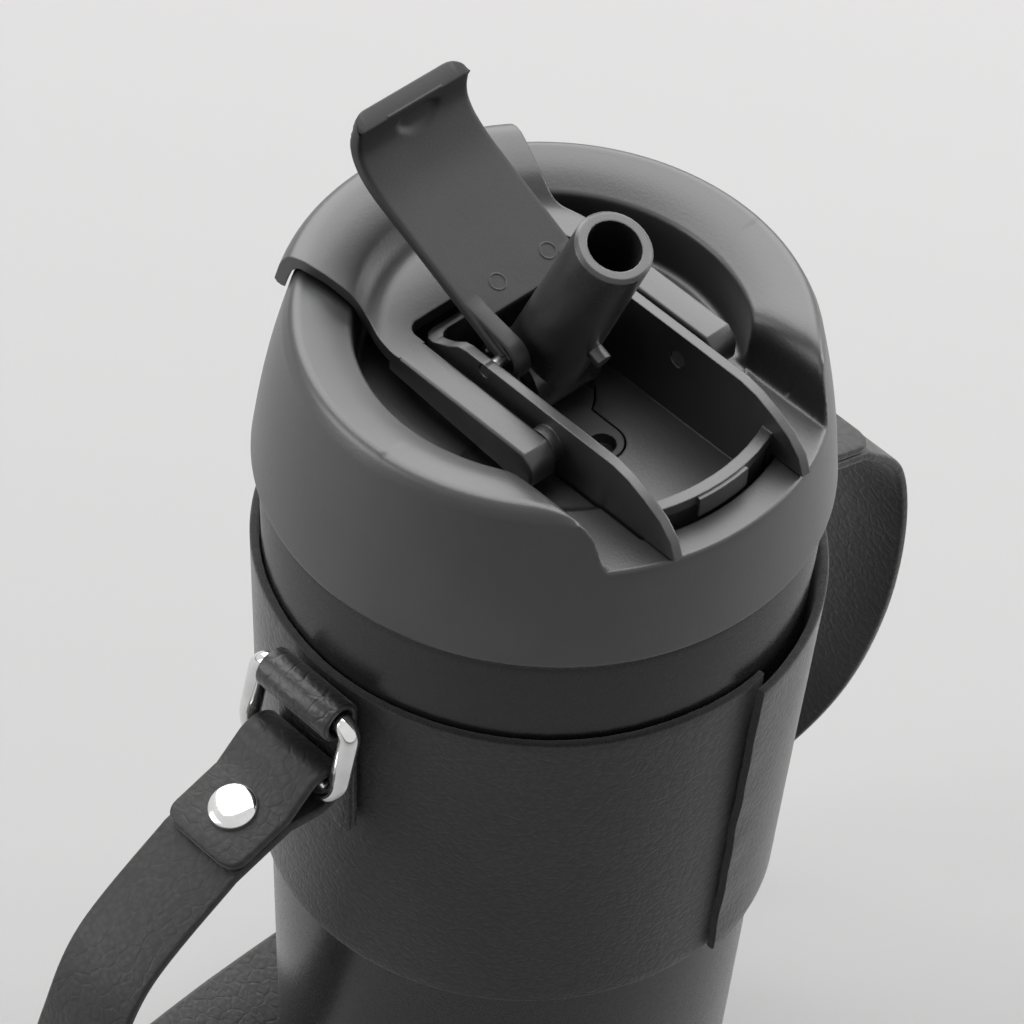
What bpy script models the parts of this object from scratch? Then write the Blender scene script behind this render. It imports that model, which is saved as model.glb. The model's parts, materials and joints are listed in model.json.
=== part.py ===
"""Double wall tumbler: a steel body in a leather sleeve with a carry strap, and a drinking lid
with a folding spout, a flip cap and a swing handle.

Metres, +Z up, front towards -Y, left towards -X. The base stands on z = 0.
"""
import math

import bmesh
import bpy
from mathutils import Matrix, Vector

# Clearances
SEAT_GAP = 0.0003
PIN_GAP = 0.00015
PART_GAP = 0.0005
FLUSH = 0.00002

# Steel body
LID_LEVEL = 0.1580
BASE_RADIUS = 0.0338
SHOULDER_RADIUS = 0.0408
SHOULDER_DROP = 0.0010
SHOULDER_ROUND = 0.0014
STEEL = 0.0008
VACUUM_SPACE = 0.0026
NECK_RADIUS = 0.0372
NECK_RISE = 0.0080
NECK_DEPTH = 0.0120
FOOT_ROUND = 0.0016
FOOT_TURN = 75.0
FLOOR_SPACE = 0.0050
BASE_THICKNESS = 0.0012
BASE_GROOVE_RADIUS = 0.0250
BASE_GROOVE_WIDTH = 0.0016
BASE_GROOVE_DEPTH = 0.0005
BODY_STEPS = 60
INNER_STEPS = 40

# Leather sleeve
LEATHER = 0.0013
SLEEVE_TOP = 0.1420
SLEEVE_HEIGHT = 0.0600
FLAP_ANGLE = math.radians(3.0)
FLAP_STEP = 0.0012
FLAP_FADE = math.radians(60.0)

# Ring tabs and rings
ROLL_DROP = 0.0027
ROLL_RADIUS = 0.0032
TAB_WIDTH = 0.0147
TAB_LEATHER = 0.0010
TAB_LEG = 0.0250
WIRE_RADIUS = 0.0016
BAR_CORNER = 0.0019
RING_HALF_WIDTH = 0.0094
RING_DROP = 0.0132
BOW_CORNER = 0.0040
RING_TILT = math.radians(11.5)

# Strap and rivets
STRAP_WIDTH = 0.0150
STRAP_THICKNESS = 0.0016
STRAP_PULL = math.radians(-18.0)
FOLD_SHIFT = 0.0004
TAIL_LENGTH = 0.0180
RIVET_OUT = 0.0108
RIVET_HEAD = 0.0037
RIVET_DOME = 0.0013
RIVET_SHANK = 0.0013

# Lid shell, heights above the lid's lower edge
LID_RADIUS = 0.0420
LID_HEIGHT = 0.0269
RING_TOP_RADIUS = 0.0373
RING_INNER_RADIUS = 0.0287
RING_INNER_HEIGHT = 0.0245
RECESS_RADIUS = 0.0274
RECESS_HEIGHT = 0.0164
RECESS_FILLET = 0.0012
LID_WALL = 0.0022
RIM_ROUND = 0.0013
CHANNEL_HALF_WIDTH = 0.0218
CHANNEL_END_ROUND = 0.0062
LID_STEPS = 80

# Spout housing
TROUGH_HALF_WIDTH = 0.0117
TROUGH_WALL = 0.0015
TROUGH_WALL_TOP = 0.0257
TROUGH_FLOOR = 0.0102
TROUGH_FLOOR_THICKNESS = 0.0018
TROUGH_BACK = 0.0115
TROUGH_NOSE = 0.0381
LIP_INNER_RADIUS = 0.0320
LIP_WALL = 0.0012
LIP_OVERHANG = 0.0006
LIP_TOP = 0.0205
LIP_EDGE = 0.0017
LATCH_HALF_WIDTH = 0.0047
LATCH_STEP = 0.0006
POCKET_FLOOR = 0.0070
PORT_RADIUS = 0.0040
STEM_WALL = 0.0012
STEM_BOTTOM = -0.0110
FLANGE_WIDTH = 0.0025
FLANGE_THICKNESS = 0.0018

# Spout and boot
SPOUT_PIVOT_Y = 0.0022
SPOUT_PIVOT_HEIGHT = 0.0167
SPOUT_LEAN = math.radians(21.5)
SPOUT_BASE_RADIUS = 0.0060
SPOUT_MOUTH_RADIUS = 0.0057
SPOUT_BORE = 0.0040
BARREL_RADIUS = 0.0062
BARREL_HALF_WIDTH = 0.0062
TRUNNION_RADIUS = 0.0020
PEG_OUT = 0.0126
PEG_RADIUS = 0.0013
PEG_LENGTH = 0.0020
BOOT_RADIUS = 0.0080
EAR_RADIUS = 0.0036
PAD_RADIUS = 0.0035

# Flip cap
HINGE_Y = 0.0003
HINGE_HEIGHT = 0.0246
CAP_OPEN = math.radians(155.0)
CAP_HALF_WIDTH = 0.0104
CAP_THICKNESS = 0.0018
CAP_CUT_BACK = 0.0058
CHEEK_INNER = 0.0073
CHEEK_OUTER = 0.0100
LOBE_RADIUS = 0.0034
LOBE_REACH = 0.0095
LOBE_CROWN = 0.0019
HINGE_PIN_RADIUS = 0.0009
CAP_BEND_RADIUS = 0.0062
CAP_FLANGE = 0.0014

# Carry handle
HANDLE_PIVOT_Y = -0.0130
HANDLE_PIVOT_HEIGHT = 0.0209
HANDLE_PIN_RADIUS = 0.0013
ARM_INNER = 0.0152
ARM_OUTER = 0.0200
ARM_DEPTH = 0.0060
ARM_NOSE = 0.0036
HANDLE_TOP = 0.0240
HANDLE_PLATE = 0.0020
HANDLE_WINDOW_BACK = 0.0142
HANDLE_SLOPE_RADIUS = 0.0232
HANDLE_WAIST = 0.0184
HANDLE_TAB_HALF_WIDTH = 0.0220
HANDLE_TAB_DROP = 0.0042
BOSS_RADIUS = 0.0027

# Liner, gasket and straw
LINER_FLANGE_RADIUS = 0.0373
LINER_FLANGE = 0.0020
LINER_WALL = 0.0011
LINER_FLOOR = 0.0018
PLUG_RADIUS = 0.0348
GASKET_THICKNESS = 0.0020
STRAW_RADIUS = 0.0037
STRAW_WALL = 0.0007
STRAW_FOOT_SPACE = 0.0040

SHOULDER_LEVEL = LID_LEVEL - SHOULDER_DROP
CURVE_STEPS = 24


def clear_scene():
    for item in list(bpy.data.objects):
        bpy.data.objects.remove(item, do_unlink=True)


def make_collection(name):
    collection = bpy.data.collections.new(name)
    bpy.context.scene.collection.children.link(collection)
    return collection


clear_scene()
TUMBLER = make_collection("double_wall_tumbler")
CUTTERS = make_collection("cutters")


# Materials

def make_material(name, colour, roughness, metallic=0.0):
    material = bpy.data.materials.new(name)
    material.use_nodes = True
    shader = material.node_tree.nodes["Principled BSDF"]
    shader.inputs["Base Color"].default_value = (*colour, 1.0)
    shader.inputs["Roughness"].default_value = roughness
    shader.inputs["Metallic"].default_value = metallic
    return material


def powder_coat(name):
    return make_material(name, (0.020, 0.020, 0.021), 0.42)


def bare_steel(name):
    return make_material(name, (0.58, 0.58, 0.57), 0.30, 1.0)


def chrome(name):
    return make_material(name, (0.80, 0.80, 0.80), 0.08, 1.0)


def leather(name):
    return make_material(name, (0.018, 0.017, 0.017), 0.62)


def lid_plastic(name):
    return make_material(name, (0.028, 0.028, 0.029), 0.48)


def silicone(name):
    return make_material(name, (0.024, 0.024, 0.025), 0.66)


def clear_plastic(name):
    return make_material(name, (0.55, 0.57, 0.58), 0.25)


# Building blocks

def add_object(name, mesh, material=None):
    """A part when it has a material, a cutter when it has none."""
    item = bpy.data.objects.new(name, mesh)
    if material is None:
        CUTTERS.objects.link(item)
        item.hide_render = True
        item.display_type = "WIRE"
    else:
        TUMBLER.objects.link(item)
        mesh.materials.append(material)
    return item


def weld(mesh):
    cage = bmesh.new()
    cage.from_mesh(mesh)
    bmesh.ops.remove_doubles(cage, verts=cage.verts, dist=0.000001)
    bmesh.ops.recalc_face_normals(cage, faces=cage.faces)
    cage.to_mesh(mesh)
    cage.free()


def turned(name, profile, material=None, steps=BODY_STEPS, closed=True):
    """Turn a profile of (radius, height) points about Z. Its outer side runs top to bottom."""
    points = [(radius, 0.0, height) for radius, height in profile]
    edges = [(index, index + 1) for index in range(len(points) - 1)]
    if closed:
        edges.append((len(points) - 1, 0))
    mesh = bpy.data.meshes.new(name)
    mesh.from_pydata(points, edges, [])
    item = add_object(name, mesh, material)
    screw = item.modifiers.new("turn", "SCREW")
    screw.steps = steps
    screw.render_steps = steps
    screw.use_merge_vertices = True
    screw.merge_threshold = 0.00001
    screw.use_smooth_shade = True
    return item


def curve_to_mesh(name, curve, matrix):
    holder = bpy.data.objects.new(name, curve)
    CUTTERS.objects.link(holder)
    bpy.context.view_layer.update()
    graph = bpy.context.evaluated_depsgraph_get()
    mesh = bpy.data.meshes.new_from_object(holder.evaluated_get(graph))
    mesh.transform(matrix)
    bpy.data.objects.remove(holder, do_unlink=True)
    bpy.data.curves.remove(curve)
    weld(mesh)
    return mesh


SIDEWAYS = {
    "X": Matrix(((0, 0, 1, 0), (1, 0, 0, 0), (0, 1, 0, 0), (0, 0, 0, 1))),
    "Y": Matrix(((1, 0, 0, 0), (0, 0, -1, 0), (0, 1, 0, 0), (0, 0, 0, 1))),
    "Z": Matrix.Identity(4),
}
AXES = {"X": Vector((1, 0, 0)), "Y": Vector((0, 1, 0)), "Z": Vector((0, 0, 1))}


def prism(name, loops, axis, low, high, material=None):
    """Extrude flat loops along an axis: (y, z) along X, (x, z) along Y, (x, y) along Z."""
    curve = bpy.data.curves.new(name, "CURVE")
    curve.dimensions = "2D"
    curve.fill_mode = "BOTH"
    curve.extrude = (high - low) / 2
    for loop in loops:
        spline = curve.splines.new("POLY")
        spline.points.add(len(loop) - 1)
        for point, (u, v) in zip(spline.points, loop):
            point.co = (u, v, 0.0, 1.0)
        spline.use_cyclic_u = True
    shift = Matrix.Translation(AXES[axis] * ((low + high) / 2))
    mesh = curve_to_mesh(name, curve, shift @ SIDEWAYS[axis])
    return add_object(name, mesh, material)


def block(name, low, high, material=None):
    mesh = bpy.data.meshes.new(name)
    cage = bmesh.new()
    bmesh.ops.create_cube(cage, size=1.0)
    for vertex in cage.verts:
        for index in range(3):
            side = vertex.co[index] + 0.5
            vertex.co[index] = low[index] + (high[index] - low[index]) * side
    cage.to_mesh(mesh)
    cage.free()
    return add_object(name, mesh, material)


def rod(name, start, end, radius, material=None, segments=24):
    """A round bar between two points."""
    start = Vector(start)
    end = Vector(end)
    mesh = bpy.data.meshes.new(name)
    cage = bmesh.new()
    bmesh.ops.create_cone(
        cage, cap_ends=True, segments=segments, radius1=radius, radius2=radius,
        depth=(end - start).length)
    turn = (end - start).to_track_quat("Z", "Y").to_matrix().to_4x4()
    place = Matrix.Translation((start + end) / 2) @ turn
    bmesh.ops.transform(cage, matrix=place, verts=cage.verts)
    cage.to_mesh(mesh)
    cage.free()
    return add_object(name, mesh, material)


def combine(target, tool, operation):
    step = target.modifiers.new(tool.name, "BOOLEAN")
    step.operation = operation
    step.solver = "EXACT"
    step.object = tool


def cut(target, *tools):
    for tool in tools:
        combine(target, tool, "DIFFERENCE")


def join(target, *tools):
    for tool in tools:
        combine(target, tool, "UNION")


def keep(target, tool):
    combine(target, tool, "INTERSECT")


def round_edges(item, width, segments=2, angle=math.radians(50.0)):
    bevel = item.modifiers.new("rounded edges", "BEVEL")
    bevel.width = width
    bevel.segments = segments
    bevel.limit_method = "ANGLE"
    bevel.angle_limit = angle


def set_origin(item, point):
    """Put the object's origin on its joint axis without moving its shape."""
    item.data.transform(Matrix.Translation(-Vector(point)))
    item.location = Vector(point)


def arc(centre_u, centre_v, radius, start, end, count):
    """Points on an arc, angles in degrees."""
    points = []
    for index in range(count + 1):
        angle = math.radians(start + (end - start) * index / count)
        points.append((centre_u + radius * math.cos(angle), centre_v + radius * math.sin(angle)))
    return points


def mirrored(half):
    """Close an outline from its right half, listed from front to back."""
    return half + [(-u, v) for u, v in reversed(half)]


def lid(height):
    """World height of a height above the lid's lower edge."""
    return LID_LEVEL + height


# Steel body

def body_radius(height):
    share = height / SHOULDER_LEVEL
    return BASE_RADIUS + (SHOULDER_RADIUS - BASE_RADIUS) * share


def inner_radius(height):
    return body_radius(height) - STEEL - VACUUM_SPACE


def shell_wall(item, thickness):
    wall = item.modifiers.new("wall", "SOLIDIFY")
    wall.thickness = thickness
    wall.offset = -1.0
    wall.use_even_offset = True


NECK_TOP = LID_LEVEL + NECK_RISE
FOOT_INSET = BASE_RADIUS - FOOT_ROUND
CUP_FLOOR = BASE_THICKNESS + FLOOR_SPACE


def build_body():
    shoulder = arc(
        SHOULDER_RADIUS - SHOULDER_ROUND, SHOULDER_LEVEL - SHOULDER_ROUND, SHOULDER_ROUND,
        90, 0, 2)
    foot = arc(BASE_RADIUS - FOOT_ROUND, FOOT_ROUND, FOOT_ROUND, 0, -FOOT_TURN, 2)
    profile = [(NECK_RADIUS, NECK_TOP), (NECK_RADIUS, SHOULDER_LEVEL)] + shoulder
    profile += foot
    outer = turned("outer_wall", profile, powder_coat("outer_wall"), closed=False)
    shell_wall(outer, STEEL)

    lip_level = NECK_TOP + SEAT_GAP
    throat = NECK_RADIUS - STEEL - SEAT_GAP
    neck_foot = SHOULDER_LEVEL - NECK_DEPTH
    corner = 6 * STEEL
    wide = inner_radius(CUP_FLOOR + corner) - corner
    cup = [
        (NECK_RADIUS, lip_level),
        (throat, lip_level),
        (throat, SHOULDER_LEVEL),
        (inner_radius(neck_foot), neck_foot),
    ]
    cup += arc(wide, CUP_FLOOR + corner, corner, 0, -90, 3)
    cup.append((0.0, CUP_FLOOR))
    inner = turned("inner_wall", cup, bare_steel("inner_wall"), INNER_STEPS, closed=False)
    shell_wall(inner, STEEL)

    reach = FOOT_INSET + (FOOT_ROUND - STEEL) * math.cos(math.radians(FOOT_TURN)) - SEAT_GAP
    groove_out = BASE_GROOVE_RADIUS + BASE_GROOVE_WIDTH
    disc = [
        (0.0, BASE_THICKNESS),
        (reach, BASE_THICKNESS),
        (reach, 0.0),
        (groove_out, 0.0),
        (groove_out - BASE_GROOVE_DEPTH, BASE_GROOVE_DEPTH),
        (BASE_GROOVE_RADIUS + BASE_GROOVE_DEPTH, BASE_GROOVE_DEPTH),
        (BASE_GROOVE_RADIUS, 0.0),
        (0.0, 0.0),
    ]
    turned("base_plate", disc, powder_coat("base_plate"), INNER_STEPS, closed=False)


# Leather sleeve

def sleeve_radius(height):
    """Outer radius of the sleeve's single layer."""
    return body_radius(height) + SEAT_GAP + LEATHER


def build_sleeve():
    outside = sleeve_radius(SLEEVE_TOP)
    inside = outside - LEATHER
    outer_loop = []
    inner_loop = []
    for index in range(BODY_STEPS):
        turn = math.tau * index / BODY_STEPS
        angle = FLAP_ANGLE + turn
        radius = outside + FLAP_STEP * max(0.0, 1.0 - turn / FLAP_FADE)
        outer_loop.append((radius * math.sin(angle), -radius * math.cos(angle)))
        inner_loop.append((inside * math.sin(angle), -inside * math.cos(angle)))
    outer_loop.append((outside * math.sin(FLAP_ANGLE), -outside * math.cos(FLAP_ANGLE)))
    sleeve = prism(
        "sleeve", [outer_loop, inner_loop], "Z", SLEEVE_TOP - SLEEVE_HEIGHT, SLEEVE_TOP,
        leather("sleeve"))
    for vertex in sleeve.data.vertices:
        radius = vertex.co.xy.length
        narrower = radius + body_radius(vertex.co.z) - body_radius(SLEEVE_TOP)
        vertex.co.xy *= narrower / radius


# Ring tabs and rings

ROLL_LEVEL = SLEEVE_TOP - ROLL_DROP
ROLL_OUT = sleeve_radius(ROLL_LEVEL) + SEAT_GAP + ROLL_RADIUS
SIDES = {"left": -1.0, "right": 1.0}


def build_tab(side, sign):
    face = ROLL_OUT - ROLL_RADIUS
    leg = 2 * TAB_LEATHER
    bottom = ROLL_LEVEL - TAB_LEG
    meet = math.degrees(math.acos((face + leg - ROLL_OUT) / ROLL_RADIUS))
    outline = [(face + leg, bottom), (face, bottom)]
    outline += arc(ROLL_OUT, ROLL_LEVEL, ROLL_RADIUS, 180, -meet, 18)
    bore = arc(ROLL_OUT, ROLL_LEVEL, WIRE_RADIUS + PIN_GAP, 360, 20, 17)
    name = "ring_tab_" + side
    tab = prism(name, [outline, bore], "Y", -TAB_WIDTH / 2, TAB_WIDTH / 2, leather(name))
    slope = (SHOULDER_RADIUS - BASE_RADIUS) / SHOULDER_LEVEL
    for vertex in tab.data.vertices:
        if vertex.co.z < ROLL_LEVEL - ROLL_RADIUS:
            vertex.co.x += slope * (vertex.co.z - ROLL_LEVEL)
    if sign < 0:
        tab.data.transform(Matrix.Rotation(math.pi, 4, "Z"))


def ring_loop():
    """Centre line of the D ring as (along, down) from the middle of its straight bar."""
    half = arc(RING_HALF_WIDTH - BAR_CORNER, -BAR_CORNER, BAR_CORNER, 90, 0, 4)
    half += arc(RING_HALF_WIDTH - BOW_CORNER, BOW_CORNER - RING_DROP, BOW_CORNER, 0, -90, 7)
    return half + [(-u, v) for u, v in reversed(half)]


def build_ring(side, sign):
    name = "ring_" + side
    curve = bpy.data.curves.new(name, "CURVE")
    curve.dimensions = "3D"
    curve.bevel_depth = WIRE_RADIUS
    curve.bevel_resolution = 2
    spline = curve.splines.new("POLY")
    loop = ring_loop()
    spline.points.add(len(loop) - 1)
    for point, (along, down) in zip(spline.points, loop):
        point.co = (0.0, along, down, 1.0)
    spline.use_cyclic_u = True
    tilt = Matrix.Rotation(-sign * RING_TILT, 4, "Y")
    mesh = curve_to_mesh(name, curve, tilt)
    mesh.shade_smooth()
    ring = add_object(name, mesh, chrome(name))
    ring.location = (sign * ROLL_OUT, 0.0, ROLL_LEVEL)


# Strap and rivets

BOW_OUT = ROLL_OUT + RING_DROP * math.sin(RING_TILT)
BOW_LEVEL = ROLL_LEVEL - RING_DROP * math.cos(RING_TILT)
BOW_EDGE = max(0.0, STRAP_WIDTH / 2 - RING_HALF_WIDTH + BOW_CORNER) / BOW_CORNER
BOW_SLOPE = math.sqrt(1.0 - min(BOW_EDGE, 0.9) ** 2)
BOW_RISE = BOW_CORNER * (1.0 - BOW_SLOPE)
FOLD_RADIUS = WIRE_RADIUS / BOW_SLOPE + 2 * SEAT_GAP + (BOW_RISE + STRAP_THICKNESS) / 2 + PIN_GAP
FOLD_LEVEL = BOW_LEVEL + BOW_RISE / 2
LAYER_OFFSET = (STRAP_THICKNESS + SEAT_GAP) / 2

# Middle of the strap between its two folded ends, from the right ring to the left one
STRAP_ROUTE = [
    (0.0730, 0.0000, 0.1110),
    (0.0745, 0.0005, 0.0960),
    (0.0760, 0.0040, 0.0760),
    (0.0700, 0.0140, 0.0560),
    (0.0560, 0.0260, 0.0380),
    (0.0350, 0.0370, 0.0240),
    (0.0100, 0.0430, 0.0175),
    (-0.0160, 0.0430, 0.0175),
    (-0.0420, 0.0370, 0.0230),
    (-0.0640, 0.0260, 0.0370),
    (-0.0800, 0.0140, 0.0560),
    (-0.0890, 0.0040, 0.0780),
    (-0.0890, 0.0005, 0.0950),
    (-0.0820, 0.0000, 0.1090),
]
STRAP_LIE = 0.25
STRAP_SAMPLES = 4


def fold_route(sign):
    """The strap's end from its tail, round the bow and out again, as points in X and Z."""
    far = RIVET_OUT + RIVET_HEAD
    near = RIVET_OUT - RIVET_HEAD
    reach = max(FOLD_RADIUS, math.hypot(near - FOLD_SHIFT, LAYER_OFFSET))
    touch = math.acos(FOLD_RADIUS / reach) + math.atan2(LAYER_OFFSET, near - FOLD_SHIFT)
    sweep = 180 - math.degrees(touch)
    turns = [(TAIL_LENGTH, LAYER_OFFSET), (far, LAYER_OFFSET), (near, LAYER_OFFSET)]
    turns += [(FOLD_SHIFT - u, v) for u, v in arc(0.0, 0.0, FOLD_RADIUS, sweep, -sweep, 10)]
    turns += [(near, -LAYER_OFFSET), (far, -LAYER_OFFSET), (TAIL_LENGTH, -LAYER_OFFSET)]
    out = Vector((math.cos(STRAP_PULL), math.sin(STRAP_PULL)))
    across = Vector((-out.y, out.x))
    points = []
    for u, v in turns:
        place = Vector((BOW_OUT, FOLD_LEVEL)) + out * u + across * v
        points.append(Vector((sign * place.x, 0.0, place.y)))
    return points


def smooth_route(points, samples):
    """A smooth curve through the points."""
    result = []
    last = len(points) - 1
    for index in range(last):
        before = points[max(index - 1, 0)]
        start = points[index]
        end = points[index + 1]
        after = points[min(index + 2, last)]
        for step in range(samples):
            t = step / samples
            result.append(0.5 * (
                2 * start + (end - before) * t
                + (2 * before - 5 * start + 4 * end - after) * t ** 2
                + (3 * start - before - 3 * end + after) * t ** 3))
    result.append(points[last])
    return result


def build_strap():
    right = fold_route(1.0)
    left = list(reversed(fold_route(-1.0)))
    middle = [Vector(point) for point in STRAP_ROUTE]
    route = right + smooth_route([right[-1]] + middle + [left[0]], STRAP_SAMPLES)[1:-1] + left
    mesh = bpy.data.meshes.new("strap")
    cage = bmesh.new()
    bmesh.ops.create_grid(cage, x_segments=len(route) - 1, y_segments=1, size=0.5)
    for vertex in cage.verts:
        index = round((vertex.co.x + 0.5) * (len(route) - 1))
        edge = 1.0 if vertex.co.y > 0 else -1.0
        place = route[index]
        lie = STRAP_LIE * min(1.0, max(0.0, place.y / 0.02))
        across = Vector((0.0, 1.0, lie)).normalized()
        vertex.co = place + across * (edge * STRAP_WIDTH / 2)
    cage.to_mesh(mesh)
    cage.free()
    strap = add_object("strap", mesh, leather("strap"))
    wall = strap.modifiers.new("wall", "SOLIDIFY")
    wall.thickness = STRAP_THICKNESS
    wall.offset = 0.0
    wall.use_even_offset = True
    for side, sign in SIDES.items():
        start, end = rivet_line(sign)
        cut(strap, rod("strap_hole_" + side, start, end, RIVET_SHANK + PIN_GAP))


def rivet_line(sign):
    """Two points on the rivet's axis, below and above the folded strap."""
    out = Vector((math.cos(STRAP_PULL), 0.0, math.sin(STRAP_PULL)))
    across = Vector((-out.z, 0.0, out.x))
    middle = Vector((BOW_OUT, 0.0, FOLD_LEVEL)) + out * RIVET_OUT
    reach = across * (2 * STRAP_THICKNESS)
    ends = [middle - reach, middle + reach]
    return [Vector((sign * point.x, point.y, point.z)) for point in ends]


def build_rivet(side, sign):
    face = LAYER_OFFSET + STRAP_THICKNESS / 2 + SEAT_GAP / 2
    back = RIVET_HEAD - RIVET_DOME / 2
    profile = [(0.0, face + RIVET_DOME)]
    profile += [(RIVET_HEAD * 0.6, face + RIVET_DOME * 0.85), (RIVET_HEAD, face + RIVET_DOME / 3)]
    profile += [(RIVET_HEAD, face), (RIVET_SHANK, face), (RIVET_SHANK, -face)]
    profile += [(back, -face), (back, -face - RIVET_DOME / 2), (0.0, -face - RIVET_DOME / 2)]
    name = "rivet_" + side
    rivet = turned(name, profile, chrome(name), steps=16, closed=False)
    start, end = rivet_line(sign)
    turn = (end - start).to_track_quat("Z", "Y").to_matrix().to_4x4()
    rivet.matrix_world = Matrix.Translation((start + end) / 2) @ turn


# Lid shell

RIM_TOP = LID_HEIGHT
SHELF_HEIGHT = RECESS_HEIGHT + 0.0001
FLOOR_UNDERSIDE = RECESS_HEIGHT - LID_WALL
SLOT_HALF_WIDTH = TROUGH_HALF_WIDTH + TROUGH_WALL + SEAT_GAP
LIP_OUTER_RADIUS = LIP_INNER_RADIUS + LIP_WALL
SLOT_FRONT_RADIUS = LIP_OUTER_RADIUS + LIP_OVERHANG + LATCH_STEP + SEAT_GAP


def lid_side(height):
    """Outer radius of the lid's convex side."""
    share = height / LID_HEIGHT
    bulge = 0.0006 * math.sin(math.pi * share)
    return LID_RADIUS + (RING_TOP_RADIUS - LID_RADIUS) * share + bulge


def lid_skin(inset, bottom):
    """The lid's outer side from the ring's inner edge over its top and down to a height."""
    shoulder = LID_HEIGHT - RIM_ROUND
    points = [(RING_INNER_RADIUS + inset, lid(RING_INNER_HEIGHT - inset))]
    crest = RING_TOP_RADIUS - RIM_ROUND
    points.append((crest, lid(LID_HEIGHT - inset)))
    points.append((lid_side(shoulder) - inset - RIM_ROUND / 4, lid(shoulder + RIM_ROUND / 2 - inset)))
    levels = 4
    for index in range(levels + 1):
        height = shoulder + (bottom - shoulder) * index / levels
        points.append((lid_side(height) - inset, lid(height - inset * (index == 0))))
    return points


def build_lid_shell():
    floor = lid(RECESS_HEIGHT)
    under = lid(FLOOR_UNDERSIDE)
    outside = lid_skin(0.0, RIM_ROUND / 2)
    profile = [(0.0, floor), (RECESS_RADIUS - RECESS_FILLET, floor)]
    profile += arc(RECESS_RADIUS - RECESS_FILLET, floor + RECESS_FILLET, RECESS_FILLET, -60, 0, 2)
    profile += [(RING_INNER_RADIUS - RECESS_FILLET / 3, lid(RING_INNER_HEIGHT) - RECESS_FILLET / 3)]
    profile += outside
    profile += [(LID_RADIUS - RIM_ROUND / 2, LID_LEVEL), (LID_RADIUS - LID_WALL, LID_LEVEL)]
    inside = lid_skin(LID_WALL, RIM_ROUND)
    profile += list(reversed(inside[2:]))
    profile += [(RING_INNER_RADIUS + LID_WALL, lid(RING_INNER_HEIGHT - LID_WALL))]
    profile += [(RECESS_RADIUS + LID_WALL, under), (0.0, under)]
    shell = turned("lid_shell", profile, lid_plastic("lid_shell"), LID_STEPS, closed=False)

    # Solid ends and a shelf where the front channel goes through the ring
    half = LID_WALL / 2
    ledge = FLOOR_UNDERSIDE + half / 2
    filler_profile = lid_skin(half, ledge) + [(RECESS_RADIUS + half, lid(ledge))]
    filler = turned("channel_filler", filler_profile, steps=LID_STEPS)
    wide = CHANNEL_HALF_WIDTH + CHANNEL_END_ROUND + LID_WALL
    front = block(
        "channel_front", (-wide, -LID_RADIUS - PART_GAP, LID_LEVEL),
        (wide, -RECESS_RADIUS / 2, lid(LID_HEIGHT)))
    keep(filler, front)
    join(shell, filler)

    shelf = lid(SHELF_HEIGHT)
    ends = [(0.0, shelf), (CHANNEL_HALF_WIDTH - PART_GAP, shelf)]
    ends += [(CHANNEL_HALF_WIDTH, shelf + CHANNEL_END_ROUND / 2)]
    tall = lid(LID_HEIGHT) - shelf - CHANNEL_END_ROUND / 2
    for index in range(1, 7):
        angle = math.radians(15 * index)
        ends.append((
            CHANNEL_HALF_WIDTH + CHANNEL_END_ROUND * (1 - math.cos(angle)),
            shelf + CHANNEL_END_ROUND / 2 + tall * math.sin(angle)))
    ends.append((CHANNEL_HALF_WIDTH + CHANNEL_END_ROUND, lid(LID_HEIGHT + LID_WALL)))
    ends.append((0.0, lid(LID_HEIGHT + LID_WALL)))
    outline = ends[1:-1] + [(-u, v) for u, v in reversed(ends[1:-1])]
    channel = prism(
        "channel", [outline], "Y", -LID_RADIUS - LID_WALL, -RECESS_RADIUS / 2)
    cut(shell, channel)

    slot_back = TROUGH_BACK + TROUGH_WALL + SEAT_GAP
    reach = math.degrees(math.asin(SLOT_HALF_WIDTH / SLOT_FRONT_RADIUS))
    slot = arc(0.0, 0.0, SLOT_FRONT_RADIUS, -90 - reach, -90 + reach, 10)
    slot += arc(SLOT_HALF_WIDTH - LID_WALL, slot_back - LID_WALL, LID_WALL, 0, 90, 3)
    slot += arc(LID_WALL - SLOT_HALF_WIDTH, slot_back - LID_WALL, LID_WALL, 90, 180, 3)
    cut(shell, prism("housing_slot", [slot], "Z", lid(0.0), lid(LID_HEIGHT)))


# Spout housing

WALL_OUT = TROUGH_HALF_WIDTH + TROUGH_WALL
BLOCK_BOTTOM = TROUGH_FLOOR - TROUGH_FLOOR_THICKNESS
POCKET_BOTTOM = POCKET_FLOOR - TROUGH_FLOOR_THICKNESS
PEG_REST_Y = SPOUT_PIVOT_Y - PEG_OUT
PORT_Y = SPOUT_PIVOT_Y + (SPOUT_PIVOT_HEIGHT - TROUGH_FLOOR) * math.tan(SPOUT_LEAN)
FLANGE_TOP = FLOOR_UNDERSIDE - SEAT_GAP
LIP_CORNER_Y = -math.sqrt(LIP_OUTER_RADIUS ** 2 - WALL_OUT ** 2)
EAR_FOOT = SHELF_HEIGHT + SEAT_GAP
WALL_FRONT = -math.sqrt(SLOT_FRONT_RADIUS ** 2 - SLOT_HALF_WIDTH ** 2) + SEAT_GAP


def pad_outline(boot_radius, pad_radius):
    """The boot's round seat with its vent pad running forwards, seen from above."""
    join_angle = math.degrees(math.acos(pad_radius / boot_radius))
    half = arc(0.0, PEG_REST_Y, pad_radius, -90, 0, 6)
    half += arc(0.0, SPOUT_PIVOT_Y, boot_radius, -join_angle, 90, 10)
    return mirrored(half)


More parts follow.
